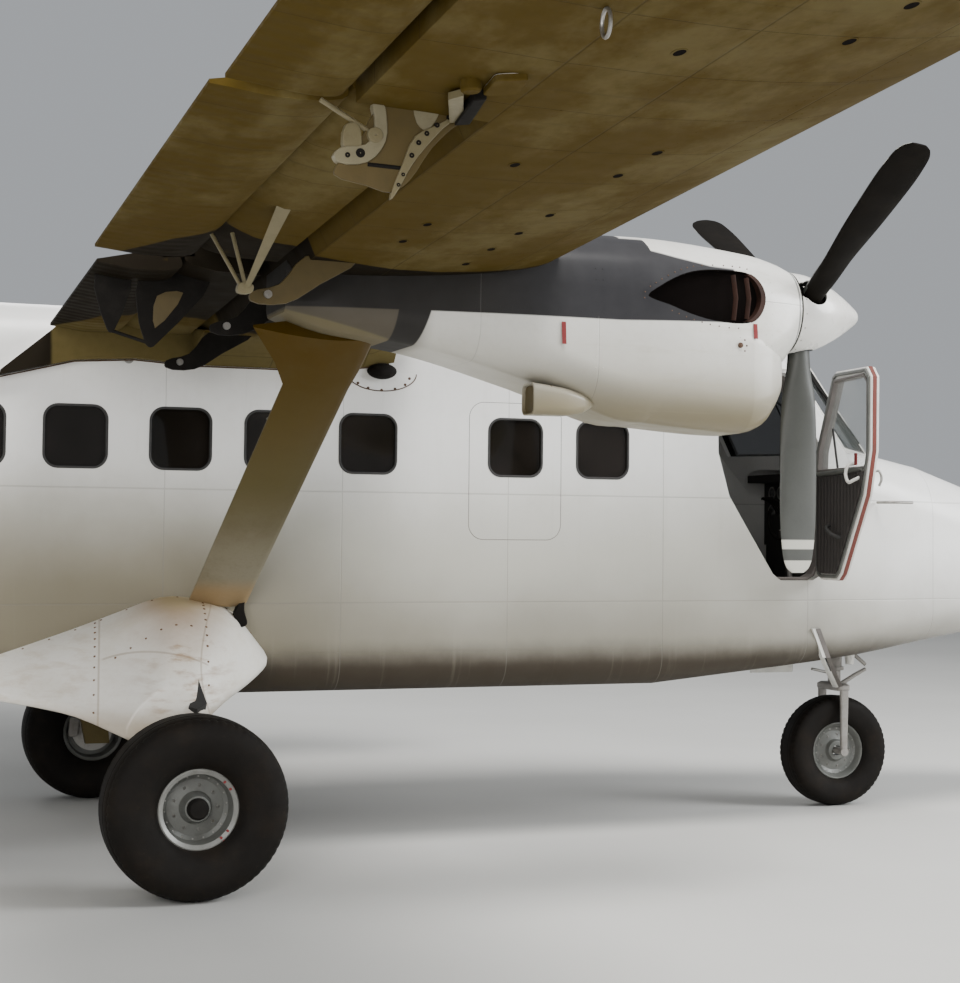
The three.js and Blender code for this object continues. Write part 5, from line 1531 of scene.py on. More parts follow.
def outer_bracket():
    """The bracket in the gap between flap and aileron; the discs standing for its holes, painted shade, are
    returned.
    """
    y = AILERON_ROOT - 0.005
    web = [
        (-0.30, 2.80), (-0.20, 2.775), (-0.128, 2.76), (-0.07, 2.80), (0.0, 2.905), (0.09, 2.99),
        (0.18, 3.03), (-0.12, 3.04), (-0.18, 3.0), (-0.225, 2.905), (-0.29, 2.835),
    ]
    pair("outer_arm_web", plate_between(web, y, 0.006), "brown", slot="shaded_paint", bevel=0.001)
    flange = [
        (0.10, 3.05), (0.04, 2.99), (-0.055, 2.935), (-0.095, 2.845), (-0.125, 2.765), (-0.128, 2.738),
        (-0.108, 2.765), (-0.062, 2.85), (-0.004, 2.925), (0.055, 2.985), (0.15, 3.03),
    ]
    pair("outer_arm_flange", plate_between(flange, y, 0.0125), "pale", slot="shaded_paint", bevel=0.002)
    back = [(-0.056, 3.05), (0.020, 3.05), (0.015, 3.0), (-0.02, 2.955), (-0.05, 2.975)]
    pair("outer_arm_plate", plate_between(back, y, 0.009), "bracket_white", bevel=0.001)
    link = [
        (-0.188, 3.02), (-0.156, 3.02), (-0.146, 2.985), (-0.148, 2.91), (-0.20, 2.845), (-0.29, 2.835),
        (-0.305, 2.855), (-0.285, 2.88), (-0.21, 2.895), (-0.185, 2.93), (-0.183, 2.98),
    ]
    pair("outer_link_plate", plate_between(link, y, 0.0165), "bracket_white", bevel=0.002)
    fork = plate_between([(-0.269, 2.951), (-0.232, 2.954), (-0.225, 2.875), (-0.272, 2.872)], y, 0.014)
    rod = tube([(-0.345, y, 3.02), (-0.19, y, 2.935)], 0.008, 10)
    ball = disc(-0.180, y, 2.925, 0.024, 0.02, 20)
    pair("outer_link_rod", together(fork, ball, rod), "pale", bevel=0.002)
    strip = [(0.05, 5.57), (-0.035, 5.82), (-0.005, 5.87), (0.085, 5.60)]
    strip = loft([[on_wing(u, v, h) for u, v in strip] for h in (-0.01, 0.012)])
    pair("outer_flange_strip", strip, "pale", bevel=0.001)
    pad = [(0.062, 5.58), (0.028, 5.86), (0.062, 5.88), (0.105, 5.60)]
    pad = loft([[on_wing(u, v, h) for u, v in pad] for h in (-0.01, 0.022)])
    pair("outer_flange_pad", pad, "black", bevel=0.004)
    pair("outer_dark_link", tube([(-0.20, y, 2.838), (-0.098, y, 2.835)], 0.009, 10), "black")
    places = [(0.05, 3.0), (0.012, 2.973), (-0.020, 2.945), (-0.045, 2.915), (-0.066, 2.875)]
    return [
        *holes_in(places, y, 0.0135, 0.008), *holes_in([(-0.092, 2.815), (-0.106, 2.783)], y, 0.0135, 0.006),
        *holes_in([(-0.264, 2.859)], y, 0.018, 0.008), *holes_in([(-0.225, 2.868)], y, 0.018, 0.014),
    ]


# Nacelle: its tables are as the fuselage's, with half widths from the nacelle's own middle

COWL = [
    (2.655, 0.203, 2.637, 3.043, 0.20, 0.20), (2.57, 0.238, 2.55, 3.075, 0.20, 0.23),
    (2.42, 0.275, 2.46, 3.108, 0.20, 0.255), (1.8, 0.345, 2.27, 3.146, 0.19, 0.28),
    (1.3, 0.345, 2.43, 3.13, 0.18, 0.255), (0.75, 0.30, 2.575, 3.045, 0.14, 0.15),
    (0.35, 0.25, 2.63, 3.0, 0.11, 0.12), (0.15, 0.20, 2.70, 2.96, 0.06, 0.06),
]
CHIN = [
    (2.56, 0.175, 2.435, 2.62, 0.085, 0.085), (2.548, 0.20, 2.395, 2.652, 0.10, 0.10),
    (2.53, 0.218, 2.36, 2.68, 0.12, 0.11), (2.46, 0.262, 2.275, 2.75, 0.15, 0.12),
    (2.35, 0.292, 2.238, 2.79, 0.16, 0.14), (1.8, 0.343, 2.273, 2.90, 0.19, 0.20),
]
BAY = [
    (2.56, 0.205, 2.59, 3.04, 0.17, 0.17), (2.42, 0.247, 2.488, 3.08, 0.17, 0.20),
    (1.8, 0.317, 2.298, 3.118, 0.16, 0.24), (1.38, 0.317, 2.432, 3.105, 0.16, 0.22),
]
SCOOP = [
    (1.56, 0.01, 2.335, 2.355, 0.006, 0.006), (1.50, 0.05, 2.30, 2.385, 0.03, 0.03),
    (1.40, 0.07, 2.285, 2.41, 0.035, 0.035), (1.24, 0.08, 2.285, 2.43, 0.035, 0.035),
]
INTAKE = rounded(ENGINE_Y - 0.14, ENGINE_Y + 0.14, 2.475, 2.59, 0.055, 0.055)
EXHAUST = [
    (1.785, 2.842), (1.85, 2.892), (1.954, 2.947), (2.056, 2.978), (2.236, 2.993), (2.350, 2.983),
    (2.398, 2.94), (2.418, 2.876), (2.402, 2.809), (2.357, 2.76), (2.289, 2.742), (2.134, 2.746),
    (2.006, 2.770), (1.895, 2.805), (1.815, 2.826),
]


def on_cowl(x, z, above=0.0, way=1):
    return (x, ENGINE_Y + way * (half_width(COWL, x, z) + above), z)


def nacelle_forms():
    """The hollow nacelle with its chin intake and the exhaust opening on each side."""
    def intake_ring(x, grow):
        return [(x, y, z) for y, z in offset(INTAKE, grow)]
    hole = spline(EXHAUST, 3, closed=True)
    mouth = loft([[(x, y, z) for y, z in INTAKE] for x in (2.36, 2.8)])
    shaft = tube([(x, ENGINE_Y, HUB_Z) for x in (2.5, 2.75)], 0.16, 40)
    form = combined(to_object("nacelle_form", body(COWL, 40, y=ENGINE_Y)), [
        ("UNION", body(CHIN, 20, y=ENGINE_Y)), ("DIFFERENCE", body(BAY, 8, y=ENGINE_Y)),
        ("DIFFERENCE", mouth), ("DIFFERENCE", shaft),
        *[("DIFFERENCE", side_prism(hole, ENGINE_Y + w * 0.2, ENGINE_Y + w * 0.42)) for w in (1, -1)],
    ])
    pair("nacelle_skin", form, "nacelle", slot="white_paint", replaces=["nacelle_{}"], angle=30)
    lip = ((2.545, 0.010), (2.564, 0.006), (2.564, -0.004), (2.545, -0.012), (2.40, -0.014), (2.40, 0.001))
    pair("intake_lip", loft([intake_ring(*row) for row in lip], wrap=True), "black", slot="dark_panel")
    pair("intake_screen", loft([intake_ring(x, -0.012) for x in (2.40, 2.41)]), "steel")
    for way, tag in ((1, "outer"), (-1, "inner")):
        exhaust_details(hole, way, tag)
    cowl_details()
    for side, _ in SIDES:
        material_of("engine_" + side, "steel")


def exhaust_details(hole, way, tag):
    """The dark well behind the opening, its front lip, two slats across it and the heads round it."""
    def place(x, z, h):
        return on_cowl(x, z, h, way)
    walls = rim(hole, place, 0.002, 0.004, -0.075, -0.003)
    back = side_prism(offset(hole, 0.004), ENGINE_Y + way * 0.225, ENGINE_Y + way * 0.236)
    pair("exhaust_well_" + tag, together(walls, back), "pipe", slot="dark_panel")
    middle_x, middle_z = 2.2, 2.87
    front = [q for q in hole if q[0] > 2.33]
    front.sort(key=lambda q: math.atan2(q[1] - middle_z, q[0] - middle_x))
    section = ((0.004, 0.002), (-0.026, 0.002), (-0.030, -0.04), (0.003, -0.04))
    lip = []
    for x, z in front:
        lip.append([place(x + d * 0.9, middle_z + (z - middle_z) * (1 + d * 1.2), h) for d, h in section])
    pair("exhaust_lip_" + tag, loft(lip), "rust", bevel=0.001)
    slats = []
    for x, d in ((2.247, 0.0), (2.315, 0.010)):
        path = (x, 0.285, 2.757 + d), (x + 0.008, 0.292, 2.86), (x, 0.278, 2.970 - d)
        slats.append(tube([(u, ENGINE_Y + way * v, w) for u, v, w in path], 0.012, 10, flat=0.35))
    pair("exhaust_slats_" + tag, together(*slats), "rust")
    heads = [place(x, z, 0.0008) for x, z in along_outline(offset(hole, 0.022), 0.05)]
    pair("exhaust_heads_" + tag, domes(heads, (0, way, 0), 0.004, 0.4, 6, 1), "screw")


def cowl_details():
    """The outlet scoop low on the outer side, a fitting, three tags and the rows of rivets."""
    scoop_y = ENGINE_Y + 0.235
    inside = body([(row[0] - 0.03, *row[1:]) for row in SCOOP[1:]], 6, 0.008, scoop_y)
    scoop = cut(body(SCOOP, 12, y=scoop_y), inside, box(1.0, 1.245, 2.5, 3.3, 2.0, 2.6))
    pair("outlet_scoop", scoop, "nacelle", slot="white_paint", bevel=0.003)
    duct = body([(x, 0.07, 2.295, 2.42, 0.03, 0.03) for x in (1.34, 1.26)], 3, y=scoop_y)
    pair("outlet_duct", duct, "brown")
    x, y, z = centre = on_cowl(2.275, 2.64)
    boss = lathe([(0.001, 0.0), (0.014, 0.0), (0.012, 0.012), (0.001, 0.014)], centre, 14)
    heads = domes([(u, y, v) for u, v in circle(x, z, 0.036, 8)], (0, 1, 0), 0.005, 0.5, 7, 2)
    pair("cowl_fitting", together(boss, heads), "screw")
    tags = []
    for x, z, long in ((1.372, 2.70, 0.10), (1.30, 3.08, 0.04), (2.36, 2.745, 0.07)):
        y = on_cowl(x, z)[1] + 0.003
        corners = ((-0.010, 0, 0), (0.010, 0, 0), (0.012, 0.004, long), (-0.008, 0.004, long))
        tags.append(loft([[(x + u, y + d + v, z - w) for u, v, w in corners] for d in (0.0, 0.002)]))
    pair("cowl_tags", together(*tags), "tag")
    rows = []
    for x in (1.53, 1.565, 0.965, 1.005, 2.425, 2.46):
        rows += [on_cowl(x, z) for z in np.arange(2.50 if x > 1.2 else 2.62, 3.0, 0.05)]
    for z in (2.725, 2.752):
        rows += [on_cowl(x, z) for x in np.arange(0.8, 2.4, 0.055) if not (1.74 < x < 2.43 and z > 2.73)]
    heads = rows + [(x, 2 * ENGINE_Y - y, z) for x, y, z in rows]
    normals = [(0, 1, 0)] * len(rows) + [(0, -1, 0)] * len(rows)
    pair("cowl_rivets", domes(heads, normals, 0.0042, 0.35, 6, 1), "nacelle")


# Strut and gear fairing; the strut's rows: span, station, height, chord, half thickness

STRUT_ROWS = [
    (0.93, 0.282, 1.39, 0.31, 0.042), (1.7, 0.347, 1.904, 0.31, 0.042), (2.48, 0.413, 2.426, 0.31, 0.042),
    (2.62, 0.388, 2.515, 0.40, 0.049), (2.80, 0.330, 2.65, 0.56, 0.06),
]
# The fairing's outline at four spans
FAIRING = [
    (0.712, [
        (-1.30, 0.985), (-1.30, 1.03), (-0.50, 1.27), (0.03, 1.44), (0.35, 1.39), (0.58, 1.10), (0.50, 0.975),
        (0.25, 0.86), (-0.30, 0.845),
    ]),
    (1.05, [
        (-1.00, 0.925), (-1.00, 0.965), (-0.43, 1.195), (0.0, 1.40), (0.34, 1.33), (0.54, 1.07),
        (0.44, 0.965), (0.19, 0.83), (-0.34, 0.815),
    ]),
    (1.35, [
        (-0.55, 0.85), (-0.55, 0.89), (-0.33, 1.06), (-0.02, 1.265), (0.22, 1.20), (0.325, 0.96),
        (0.245, 0.885), (0.11, 0.81), (-0.33, 0.77),
    ]),
    (1.60, [
        (-0.295, 0.745), (-0.295, 0.80), (-0.245, 0.89), (-0.12, 1.0), (0.02, 0.985), (0.092, 0.88),
        (0.08, 0.80), (0.05, 0.72), (-0.20, 0.705),
    ]),
]
SLIT = [(0.070, 1.52, 1.000), (0.100, 1.60, 0.885), (0.050, 1.62, 0.86), (0.010, 1.60, 0.87)]
TEAR = [(0.345, 1.30), (0.375, 1.36), (0.43, 1.43), (0.405, 1.34), (0.405, 1.27), (0.37, 1.255)]


def softened(outline, share=0.34):
    """A polygon with its corners rounded by a share of the shorter edge at each."""
    p = [np.asarray(q, float) for q in outline]
    out = []
    for i, corner in enumerate(p):
        before, after = p[i - 1], p[(i + 1) % len(p)]
        back, on = np.linalg.norm(before - corner), np.linalg.norm(after - corner)
        reach = min(back, on) * share
        a = corner + (before - corner) / back * reach
        b = corner + (after - corner) / on * reach
        for t in np.linspace(0, 1, 4):
            out.append(tuple((1 - t) ** 2 * a + 2 * t * (1 - t) * corner + t * t * b))
    return out


def fairing_outline(y):
    flat = [np.array(outline).ravel() for _, outline in FAIRING]
    return softened(monotone([span for span, _ in FAIRING], flat, [y])[0].reshape(-1, 2))


def fairing_top(x, y):
    """The height of the fairing's upper face, or None beyond its ends."""
    outline = fairing_outline(y)
    heights = [
        z + (w - z) * (x - u) / (v - u)
        for (u, z), (v, w) in zip(outline, outline[1:] + outline[:1]) if (u - x) * (v - x) < 0
    ]
    return max(heights, default=None)


def strut_forms():
    """The lift strut, and the gear fairing with its screws, slit and hole."""
    square_y, square_z = -0.55, 0.83
    rings = []
    for y, station, z, chord, half in STRUT_ROWS:
        ring = streamlined(station + chord / 2, station - chord / 2, half, 0.1)
        rings.append([(x, y + square_y * v, z + square_z * v) for x, v in ring])
    pair("strut_skin", loft(rings), "cream", slot="shaded_paint", replaces=["strut_{}"])
    rings = [[(x, y, z) for x, z in fairing_outline(y)] for y in np.linspace(0.80, 1.60, 12)]
    rings.append([(x, 1.612, z) for x, z in offset(fairing_outline(1.60), -0.018)])
    form = cut(loft(rings), cabin_solid(3.0))
    pair("fairing_skin", form, "fairing", slot="white_paint", replaces=["gear_fairing_{}"], angle=55)
    seams = []
    for y in np.arange(0.92, 1.60, 0.06):
        seams += [(-0.33 - 0.13 * (y - 0.9) - 0.02, y), (0.20 - 0.12 * (y - 0.9), y)]
    seams += [(x, 1.30) for x in np.arange(-0.30, 0.12, 0.075)]
    root = [(x, HALF + 0.03) for x in np.arange(-1.1, 0.50, 0.13)]
    screws, normals = [], []
    for places, normal in ((seams, (0, 0.75, 0.65)), (root, (0, 0.6, 0.8))):
        found = [(x, y, fairing_top(x, y)) for x, y in places]
        found = [q for q in found if q[2] is not None]
        screws += found
        normals += [normal] * len(found)
    pair("fairing_screws", domes(screws, normals, 0.0075, 0.4, 9, 2), "rust_screw")
    pair("fairing_slit", loft([[(x, y + h, z + h) for x, y, z in SLIT] for h in (-0.012, 0.022)]), "rubber")
    def skew(x, z, h):
        return (x, 1.02 - (z - 1.30) * 1.1 + h, z)
    # A black plate: painted shade standing for the hole in the fairing.
    hole = slab(spline(TEAR, 5, closed=True), skew, -0.02, 0.035)
    pair("fairing_hole", hole, "black", slot="dark_panel")


# Main wheels; the tyre's section is in shares of its half width and of its height above the rim

TYRE_SECTION = [
    (0.0, 1.0), (0.30, 0.992), (0.34, 0.968), (0.38, 0.988), (0.60, 0.968), (0.65, 0.945), (0.70, 0.950),
    (0.84, 0.895), (0.94, 0.79), (1.0, 0.64), (0.99, 0.47), (0.93, 0.29), (0.82, 0.13), (0.64, 0.0),
]


def tyre_shape(radius, width, rim_radius, x, y, lugs):
    """A fat tyre with a centre rib, shoulder grooves and shallow blocks at the shoulders."""
    half = [(w * width / 2, rim_radius + share * (radius - rim_radius)) for w, share in TYRE_SECTION]
    half = [half[0], *spline(half[1:], 3)]
    section = half + [(-w, r) for w, r in half[:0:-1]]
    steps = lugs * 4
    rings = []
    for k in range(steps):
        a = 2 * math.pi * k / steps
        ring = []
        for w, r in section:
            if k % 4 == 0 and r > 0.86 * radius:
                shoulder = (abs(w) / (width / 2) - 0.72) / 0.16
                r -= 0.0055 * math.exp(-shoulder ** 2)
            ring.append((x + r * math.cos(a), y + w, radius + r * math.sin(a)))
        rings.append(ring[::-1])
    return loft(rings, wrap=True)


def wheel_parts(radius, width, rim_radius, x, y, way):
    """Rim with a dished disc, hub and bead flange, its bolts, and a cap; way is the outer side."""
    edge, half = rim_radius - 0.001, width / 2
    def turned(profile, steps):
        return lathe([(r, w * way) for r, w in profile], (x, y, radius), steps)
    def heads(count, r, out, first, *size):
        ring = [(u, y + out * way, v) for u, v in circle(x, radius, r, count, first)]
        return domes(ring, (0, way, 0), *size)
    rim_form = turned([
        (0.033, half * 0.5), (0.060, half * 0.5), (0.072, half * 0.30), (0.078, 0.030), (edge - 0.055, 0.022),
        (edge - 0.034, 0.034), (edge - 0.022, half * 0.52), (edge - 0.006, half * 0.63), (edge, half * 0.60),
        (edge, -half * 0.60), (edge - 0.02, -half * 0.55), (edge - 0.03, -0.01), (0.08, -0.01),
        (0.033, -0.01),
    ], 72)
    bolts = heads(9, (edge - 0.055 + 0.078) / 2, 0.027, 0.0, 0.009, 0.8, 6, 1)
    rivets = heads(18, edge - 0.042, 0.031, 0.1, 0.005, 0.5, 8, 2)
    top = half * 0.5 + 0.034
    cap = turned([
        (0.001, top), (0.040, top - 0.002), (0.050, top - 0.014), (0.052, half * 0.5), (0.038, half * 0.5),
        (0.038, top - 0.007), (0.001, top - 0.007),
    ], 32)
    return rim_form, together(bolts, rivets), cap


def main_wheels():
    """Tyres, rims, caps, flanges, slip marks and brakes."""
    width, rim_radius = 0.36, 0.192
    half = width / 2
    for side, way in SIDES:
        carrier = "main_wheel_unit_" + side
        y = way * HALF_TRACK
        def turned(profile, steps):
            return lathe([(r, way * w) for r, w in profile], (0, y, MAIN_R), steps)
        tyre = tyre_shape(MAIN_R, width, rim_radius, 0.0, y, 64)
        nodes = ["tyre_main_" + side]
        piece("tyre_" + side, tyre, "tyre", carrier, slot="tyre_rubber", replaces=nodes, angle=40)
        rim_form, heads, cap = wheel_parts(MAIN_R, width, rim_radius, 0.0, y, way)
        nodes = ["wheel_main_" + side]
        piece("rim_" + side, rim_form, "rim", carrier, slot="wheel_paint", replaces=nodes, bevel=0.002)
        piece("rim_bolts_" + side, heads, "steel", carrier)
        piece("hub_cap_" + side, cap, "black", carrier)
        flange = turned([
            (rim_radius - 0.026, half * 0.60), (rim_radius - 0.006, half * 0.665),
            (rim_radius + 0.001, half * 0.64), (rim_radius - 0.004, half * 0.60),
        ], 96)
        piece("rim_flange_" + side, flange, "rim_edge", carrier, bevel=0.001)
        marks = []
        face, low = way * (HALF_TRACK + half * 0.64), rim_radius - 0.024
        for turn in (-0.9, 0.55):
            for k, high in enumerate((rim_radius + 0.004, rim_radius - 0.008)):
                a = turn + 0.25 * k
                corners = [(low, a - 0.03), (high, a - 0.03), (high, a + 0.03), (low, a + 0.03)]
                ring = [(r * math.cos(b), MAIN_R + r * math.sin(b)) for r, b in corners]
                marks.append(loft([[(u, face + way * h, v) for u, v in ring] for h in (-0.004, 0.0015)]))
        piece("slip_marks_" + side, together(*marks), "tag", carrier)
        bead = turned([
            (rim_radius + 0.001, half * 0.655), (rim_radius + 0.006, half * 0.70),
            (rim_radius + 0.011, half * 0.72), (rim_radius + 0.004, half * 0.64),
        ], 72)
        piece("bead_line_" + side, bead, "tyre", carrier)
        brake = turned([(0.05, -0.05), (0.128, -0.05), (0.128, -0.065), (0.05, -0.065)], 48)
        piece("brake_disc_" + side, brake, "steel", carrier)
        outline = softened([(-0.16, 0.41), (-0.10, 0.41), (-0.09, 0.53), (-0.15, 0.54)])
        caliper = loft([[(x, way * (HALF_TRACK + d), z) for x, z in outline] for d in (-0.115, -0.07)])
        piece("brake_caliper_" + side, caliper, "grey_paint", bevel=0.003)
        hose = (-0.12, 1.77, 0.54), (-0.13, 1.70, 0.60), (-0.11, 1.64, 0.68), (-0.08, 1.60, 0.74)
        hose = spline([(x, way * y, z) for x, y, z in hose], 6)
        piece("brake_pipe_" + side, tube(hose, 0.007, 8), "rubber")
        material_of("main_axle_" + side, "leg")


# Nose gear

def nose_gear():
    """Tyre and rim, then the parts that steer, those fixed above them, and the brace."""
    width, rim_radius = 0.225, 0.185
    carrier = "nose_wheel_unit"
    tyre = tyre_shape(NOSE_R, width, rim_radius, WHEELBASE, 0, 56)
    piece("tyre_front", tyre, "tyre", carrier, slot="tyre_rubber", replaces=["tyre_nose"], angle=40)
    left, right = (wheel_parts(NOSE_R, width, rim_radius, WHEELBASE, 0, way) for way in (1, -1))
    piece("rim_front", right[0], "rim", carrier, slot="wheel_paint", replaces=["wheel_nose"], bevel=0.002)
    piece("rim_front_bolts", together(left[1], right[1]), "steel", carrier)
    nose_fork(width)
    nose_brace()


def nose_fork(width):
    """The steering fork, the leg's sleeve above it and the two links between them."""
    carrier, crown = "nose_fork_unit", NOSE_R * 2 + 0.04
    parts = []
    for way in (1, -1):
        rows = []
        y = way * (width / 2 + 0.032)
        for t in np.linspace(0, 1, 9):
            z = part_way((NOSE_R, crown), t)
            x = WHEELBASE + (STEER_X - 0.008 - WHEELBASE) * t
            wide = 0.024 + 0.006 * t
            line = rounded(-wide, wide, -0.014, 0.014, 0.012, 0.012, 3)
            rows.append([(x + u, y + v, z) for u, v in line])
        nut = [(0.001, 0.0), (0.030, 0.0), (0.028, way * 0.018), (0.001, way * 0.020)]
        parts += [loft(rows), lathe(nut, (WHEELBASE, way * (width / 2 + 0.030), NOSE_R), 32)]
    rows = []
    for h, s in ((-0.004, 0.96), (0.006, 1.0), (0.030, 1.0), (0.044, 0.8)):
        line = rounded(-0.048 * s, 0.044 * s, -0.158 * s, 0.158 * s, 0.03, 0.03, 5)
        rows.append([(STEER_X - 0.005 + u, v, crown + h) for u, v in line])
    stem = tube([(STEER_X, 0, crown + 0.02), (STEER_X, 0, crown + 0.12)], 0.042, 28)
    axle = tube([(WHEELBASE, y, NOSE_R) for y in (-width / 2 - 0.04, width / 2 + 0.04)], 0.022, 24)
    form = together(*parts, loft(rows), stem, axle)
    piece("fork_skin", form, "grey_paint", carrier, slot="bare_steel", replaces=["nose_fork"], bevel=0.002)
    def link(*points):
        return tube([(STEER_X + u, 0, z) for u, z in points], [0.016, 0.014, 0.012], 12)
    low = link((0.05, crown + 0.03), (0.15, crown + 0.085), (0.235, crown + 0.125))
    piece("torque_link_low", low, "grey_paint", carrier)
    collar = [(0.045, 0.0), (0.085, 0.0), (0.088, 0.02), (0.088, 0.10), (0.045, 0.12)]
    ring = [(0.045, 0.0), (0.062, 0.0), (0.062, 0.022), (0.045, 0.022)]
    sleeve = together(
        tube([(STEER_X, 0, crown + 0.122), (STEER_X, 0, 1.15)], 0.050, 28),
        lathe(collar, (STEER_X, 0, 0.99), 36, "z"), lathe(ring, (STEER_X, 0, crown + 0.124), 32, "z"),
    )
    piece("oleo_skin", sleeve, "grey_paint", slot="bare_steel", replaces=["nose_leg"])
    high = link((0.08, 1.02), (0.16, 0.97), (0.235, crown + 0.155))
    piece("torque_link_high", high, "grey_paint")


def nose_brace():
    """The slanting channel from the belly's side to the leg, with its foot, and the lamp."""
    def strip(u0, u1, v0, v1, *points):
        corners = ((u0, v0), (u1, v0), (u1, v1), (u0, v1))
        return loft([[(x + u, y + v, z) for u, v in corners] for x, y, z in points])
    path = [(3.885, -0.868, 1.20), (3.985, -0.818, 1.02), (4.20, -0.50, 0.914), (4.475, -0.115, 0.775)]
    sides = (0.0, 0.022, -0.02, 0.02), (0.022, 0.055, -0.02, -0.014), (0.022, 0.055, 0.014, 0.02)
    channel = [strip(*side, a, b) for a, b in zip(path, path[1:]) for side in sides]
    piece("nose_brace", together(*channel), "white", bevel=0.002)
    piece("nose_brace_web", strip(0.022, 0.055, -0.0205, 0.0205, *path), "jamb")
    foot = together(
        tube([(4.47, -0.115, 0.80), (4.49, -0.08, 0.83), (STEER_X - 0.03, -0.04, 0.87)], 0.014),
        tube([(4.30, -0.13, 0.90), (4.49, -0.10, 0.86)], 0.009),
    )
    piece("nose_brace_foot", foot, "steel")
    cup = [(0.001, 0.0), (0.026, 0.0), (0.038, 0.095), (0.033, 0.10), (0.001, 0.10)]
    piece("nose_gear_lamp", lathe(cup, (4.58, -0.13, 0.925), 28, "z"), "white")
    piece("nose_gear_lamp_mount", tube([(4.58, -0.13, 1.02), (4.57, -0.09, 1.09)], 0.012), "steel")


# Propellers; a blade's rows: radius, half chord, half thickness, twist in degrees

BLADE_ROWS = [
    (0.12, 0.050, 0.050, 0), (0.25, 0.060, 0.046, 0), (0.42, 0.084, 0.030, 12), (0.70, 0.098, 0.020, 3),
    (1.0, 0.102, 0.014, -4), (1.18, 0.090, 0.009, -8), (1.24, 0.068, 0.006, -9),
    (PROP_RADIUS, 0.036, 0.004, -9),
]
# The spinner's outline: radius, distance behind its tip
SPINNER = [
    (0.0, 0.0), (0.030, 0.015), (0.062, 0.055), (0.118, 0.14), (0.168, 0.24), (0.194, 0.33), (0.202, 0.41),
]


def blade_axes(angle):
    """The way a blade points, and the way its painted face looks."""
    turn = math.radians(angle)
    return np.array((0, math.sin(turn), math.cos(turn))), np.array((0, math.cos(turn), -math.sin(turn)))


def blade_shape(angle, y):
    """One feathered blade as a closed loft."""
    radii = np.concatenate([np.linspace(0.12, 1.18, 22), np.linspace(1.20, PROP_RADIUS, 7)])
    rows = monotone([r[0] for r in BLADE_ROWS], [r[1:] for r in BLADE_ROWS], radii)
    radial, face = blade_axes(angle)
    rings = []
    for r, (half, thick, twist) in zip(radii, rows):
        t = math.radians(twist)
        ring = []
        for k in range(24):
            a = 2 * math.pi * (k + 0.5) / 24
            u, v = half * math.cos(a), thick * math.sin(a)
            u, v = u * math.cos(t) - v * math.sin(t), u * math.sin(t) + v * math.cos(t)
            ring.append(tuple(np.array((BLADE_PLANE + u, y, HUB_Z)) + face * v + radial * r))
        rings.append(ring)
    return loft(rings)


def propeller_forms():
    """Hub and blades with their painted faces, then the spinner that the blades pass through."""
    for side, way in SIDES:
        y, carrier = way * ENGINE_Y, "propeller_unit_" + side
        hub = tube([(HUB_X - 0.03, y, HUB_Z), (HUB_X + 0.17, y, HUB_Z)], 0.13, 40)
        form = together(hub, *[blade_shape(angle, y) for angle in BLADE_ANGLES])
        obj = piece("propeller_skin_" + side, form, ["blade_black", "blade_grey"], carrier,
                    slot="blade_black", replaces=["propeller_" + side], angle=50)
        paint_blades(obj.data, Vector((BLADE_PLANE + MID, y, HUB_Z)))
        outer = [(max(r, 0.0005), HUB_X + 0.41 - d) for r, d in spline(SPINNER, 5)]
        inner = [(max(r - 0.008, 0.0005), HUB_X + 0.41 - d - 0.012) for r, d in spline(SPINNER, 5)[:-1]]
        cone = to_object("cone", lathe([*outer, (0.194, HUB_X), *inner[::-1]], (0, y, HUB_Z), 72, "x"))
        ways = []
        for angle in BLADE_ANGLES:
            radial, middle = blade_axes(angle)[0], np.array((BLADE_PLANE, y, HUB_Z))
            ways.append(tube([middle + radial * r for r in (0.08, 0.30)], 0.072, 28))
            middle[0] -= 0.052
            ways.append(tube([middle + radial * r for r in (0.14, 0.30)], 0.048, 20))
        combined(cone, [("DIFFERENCE", form) for form in ways])
        white_skin("spinner_skin_" + side, cone, "spinner_" + side, carrier, "cone", angle=40)
        plate = [(r, HUB_X - d) for r, d in ((0.14, 0.008), (0.201, 0.008), (0.201, 0.002), (0.14, 0.002))]
        piece("spinner_plate_" + side, lathe(plate, (0, y, HUB_Z), 64, "x"), "black", carrier)
        screws = [(HUB_X + 0.018, u, v) for u, v in circle(y, HUB_Z, 0.2015, 18, 0.1)]
        normals = [(0, q[1] - y, q[2] - HUB_Z) for q in screws]
        piece("spinner_screws_" + side, domes(screws, normals, 0.004, 0.4, 6, 1), "steel", carrier)


def paint_blades(mesh, centre):
    """Gives the second paint to the faces of each blade that look its painted way."""
    axes = [[Vector(axis) for axis in blade_axes(angle)] for angle in BLADE_ANGLES]
    for polygon in mesh.polygons:
        out = polygon.center - centre
        out.x = 0
        if out.length < 0.17:
            continue
        for radial, face in axes:
            if out.normalized().dot(radial) > 0.8 and polygon.normal.dot(face) > 0:
                polygon.material_index = 1


# Small outside parts

def vane(half, *rows):
    """A streamlined blade through rows of height, nose and tail."""
    return loft([upright(z, nose, tail, half, 0.3) for z, nose, tail in rows])


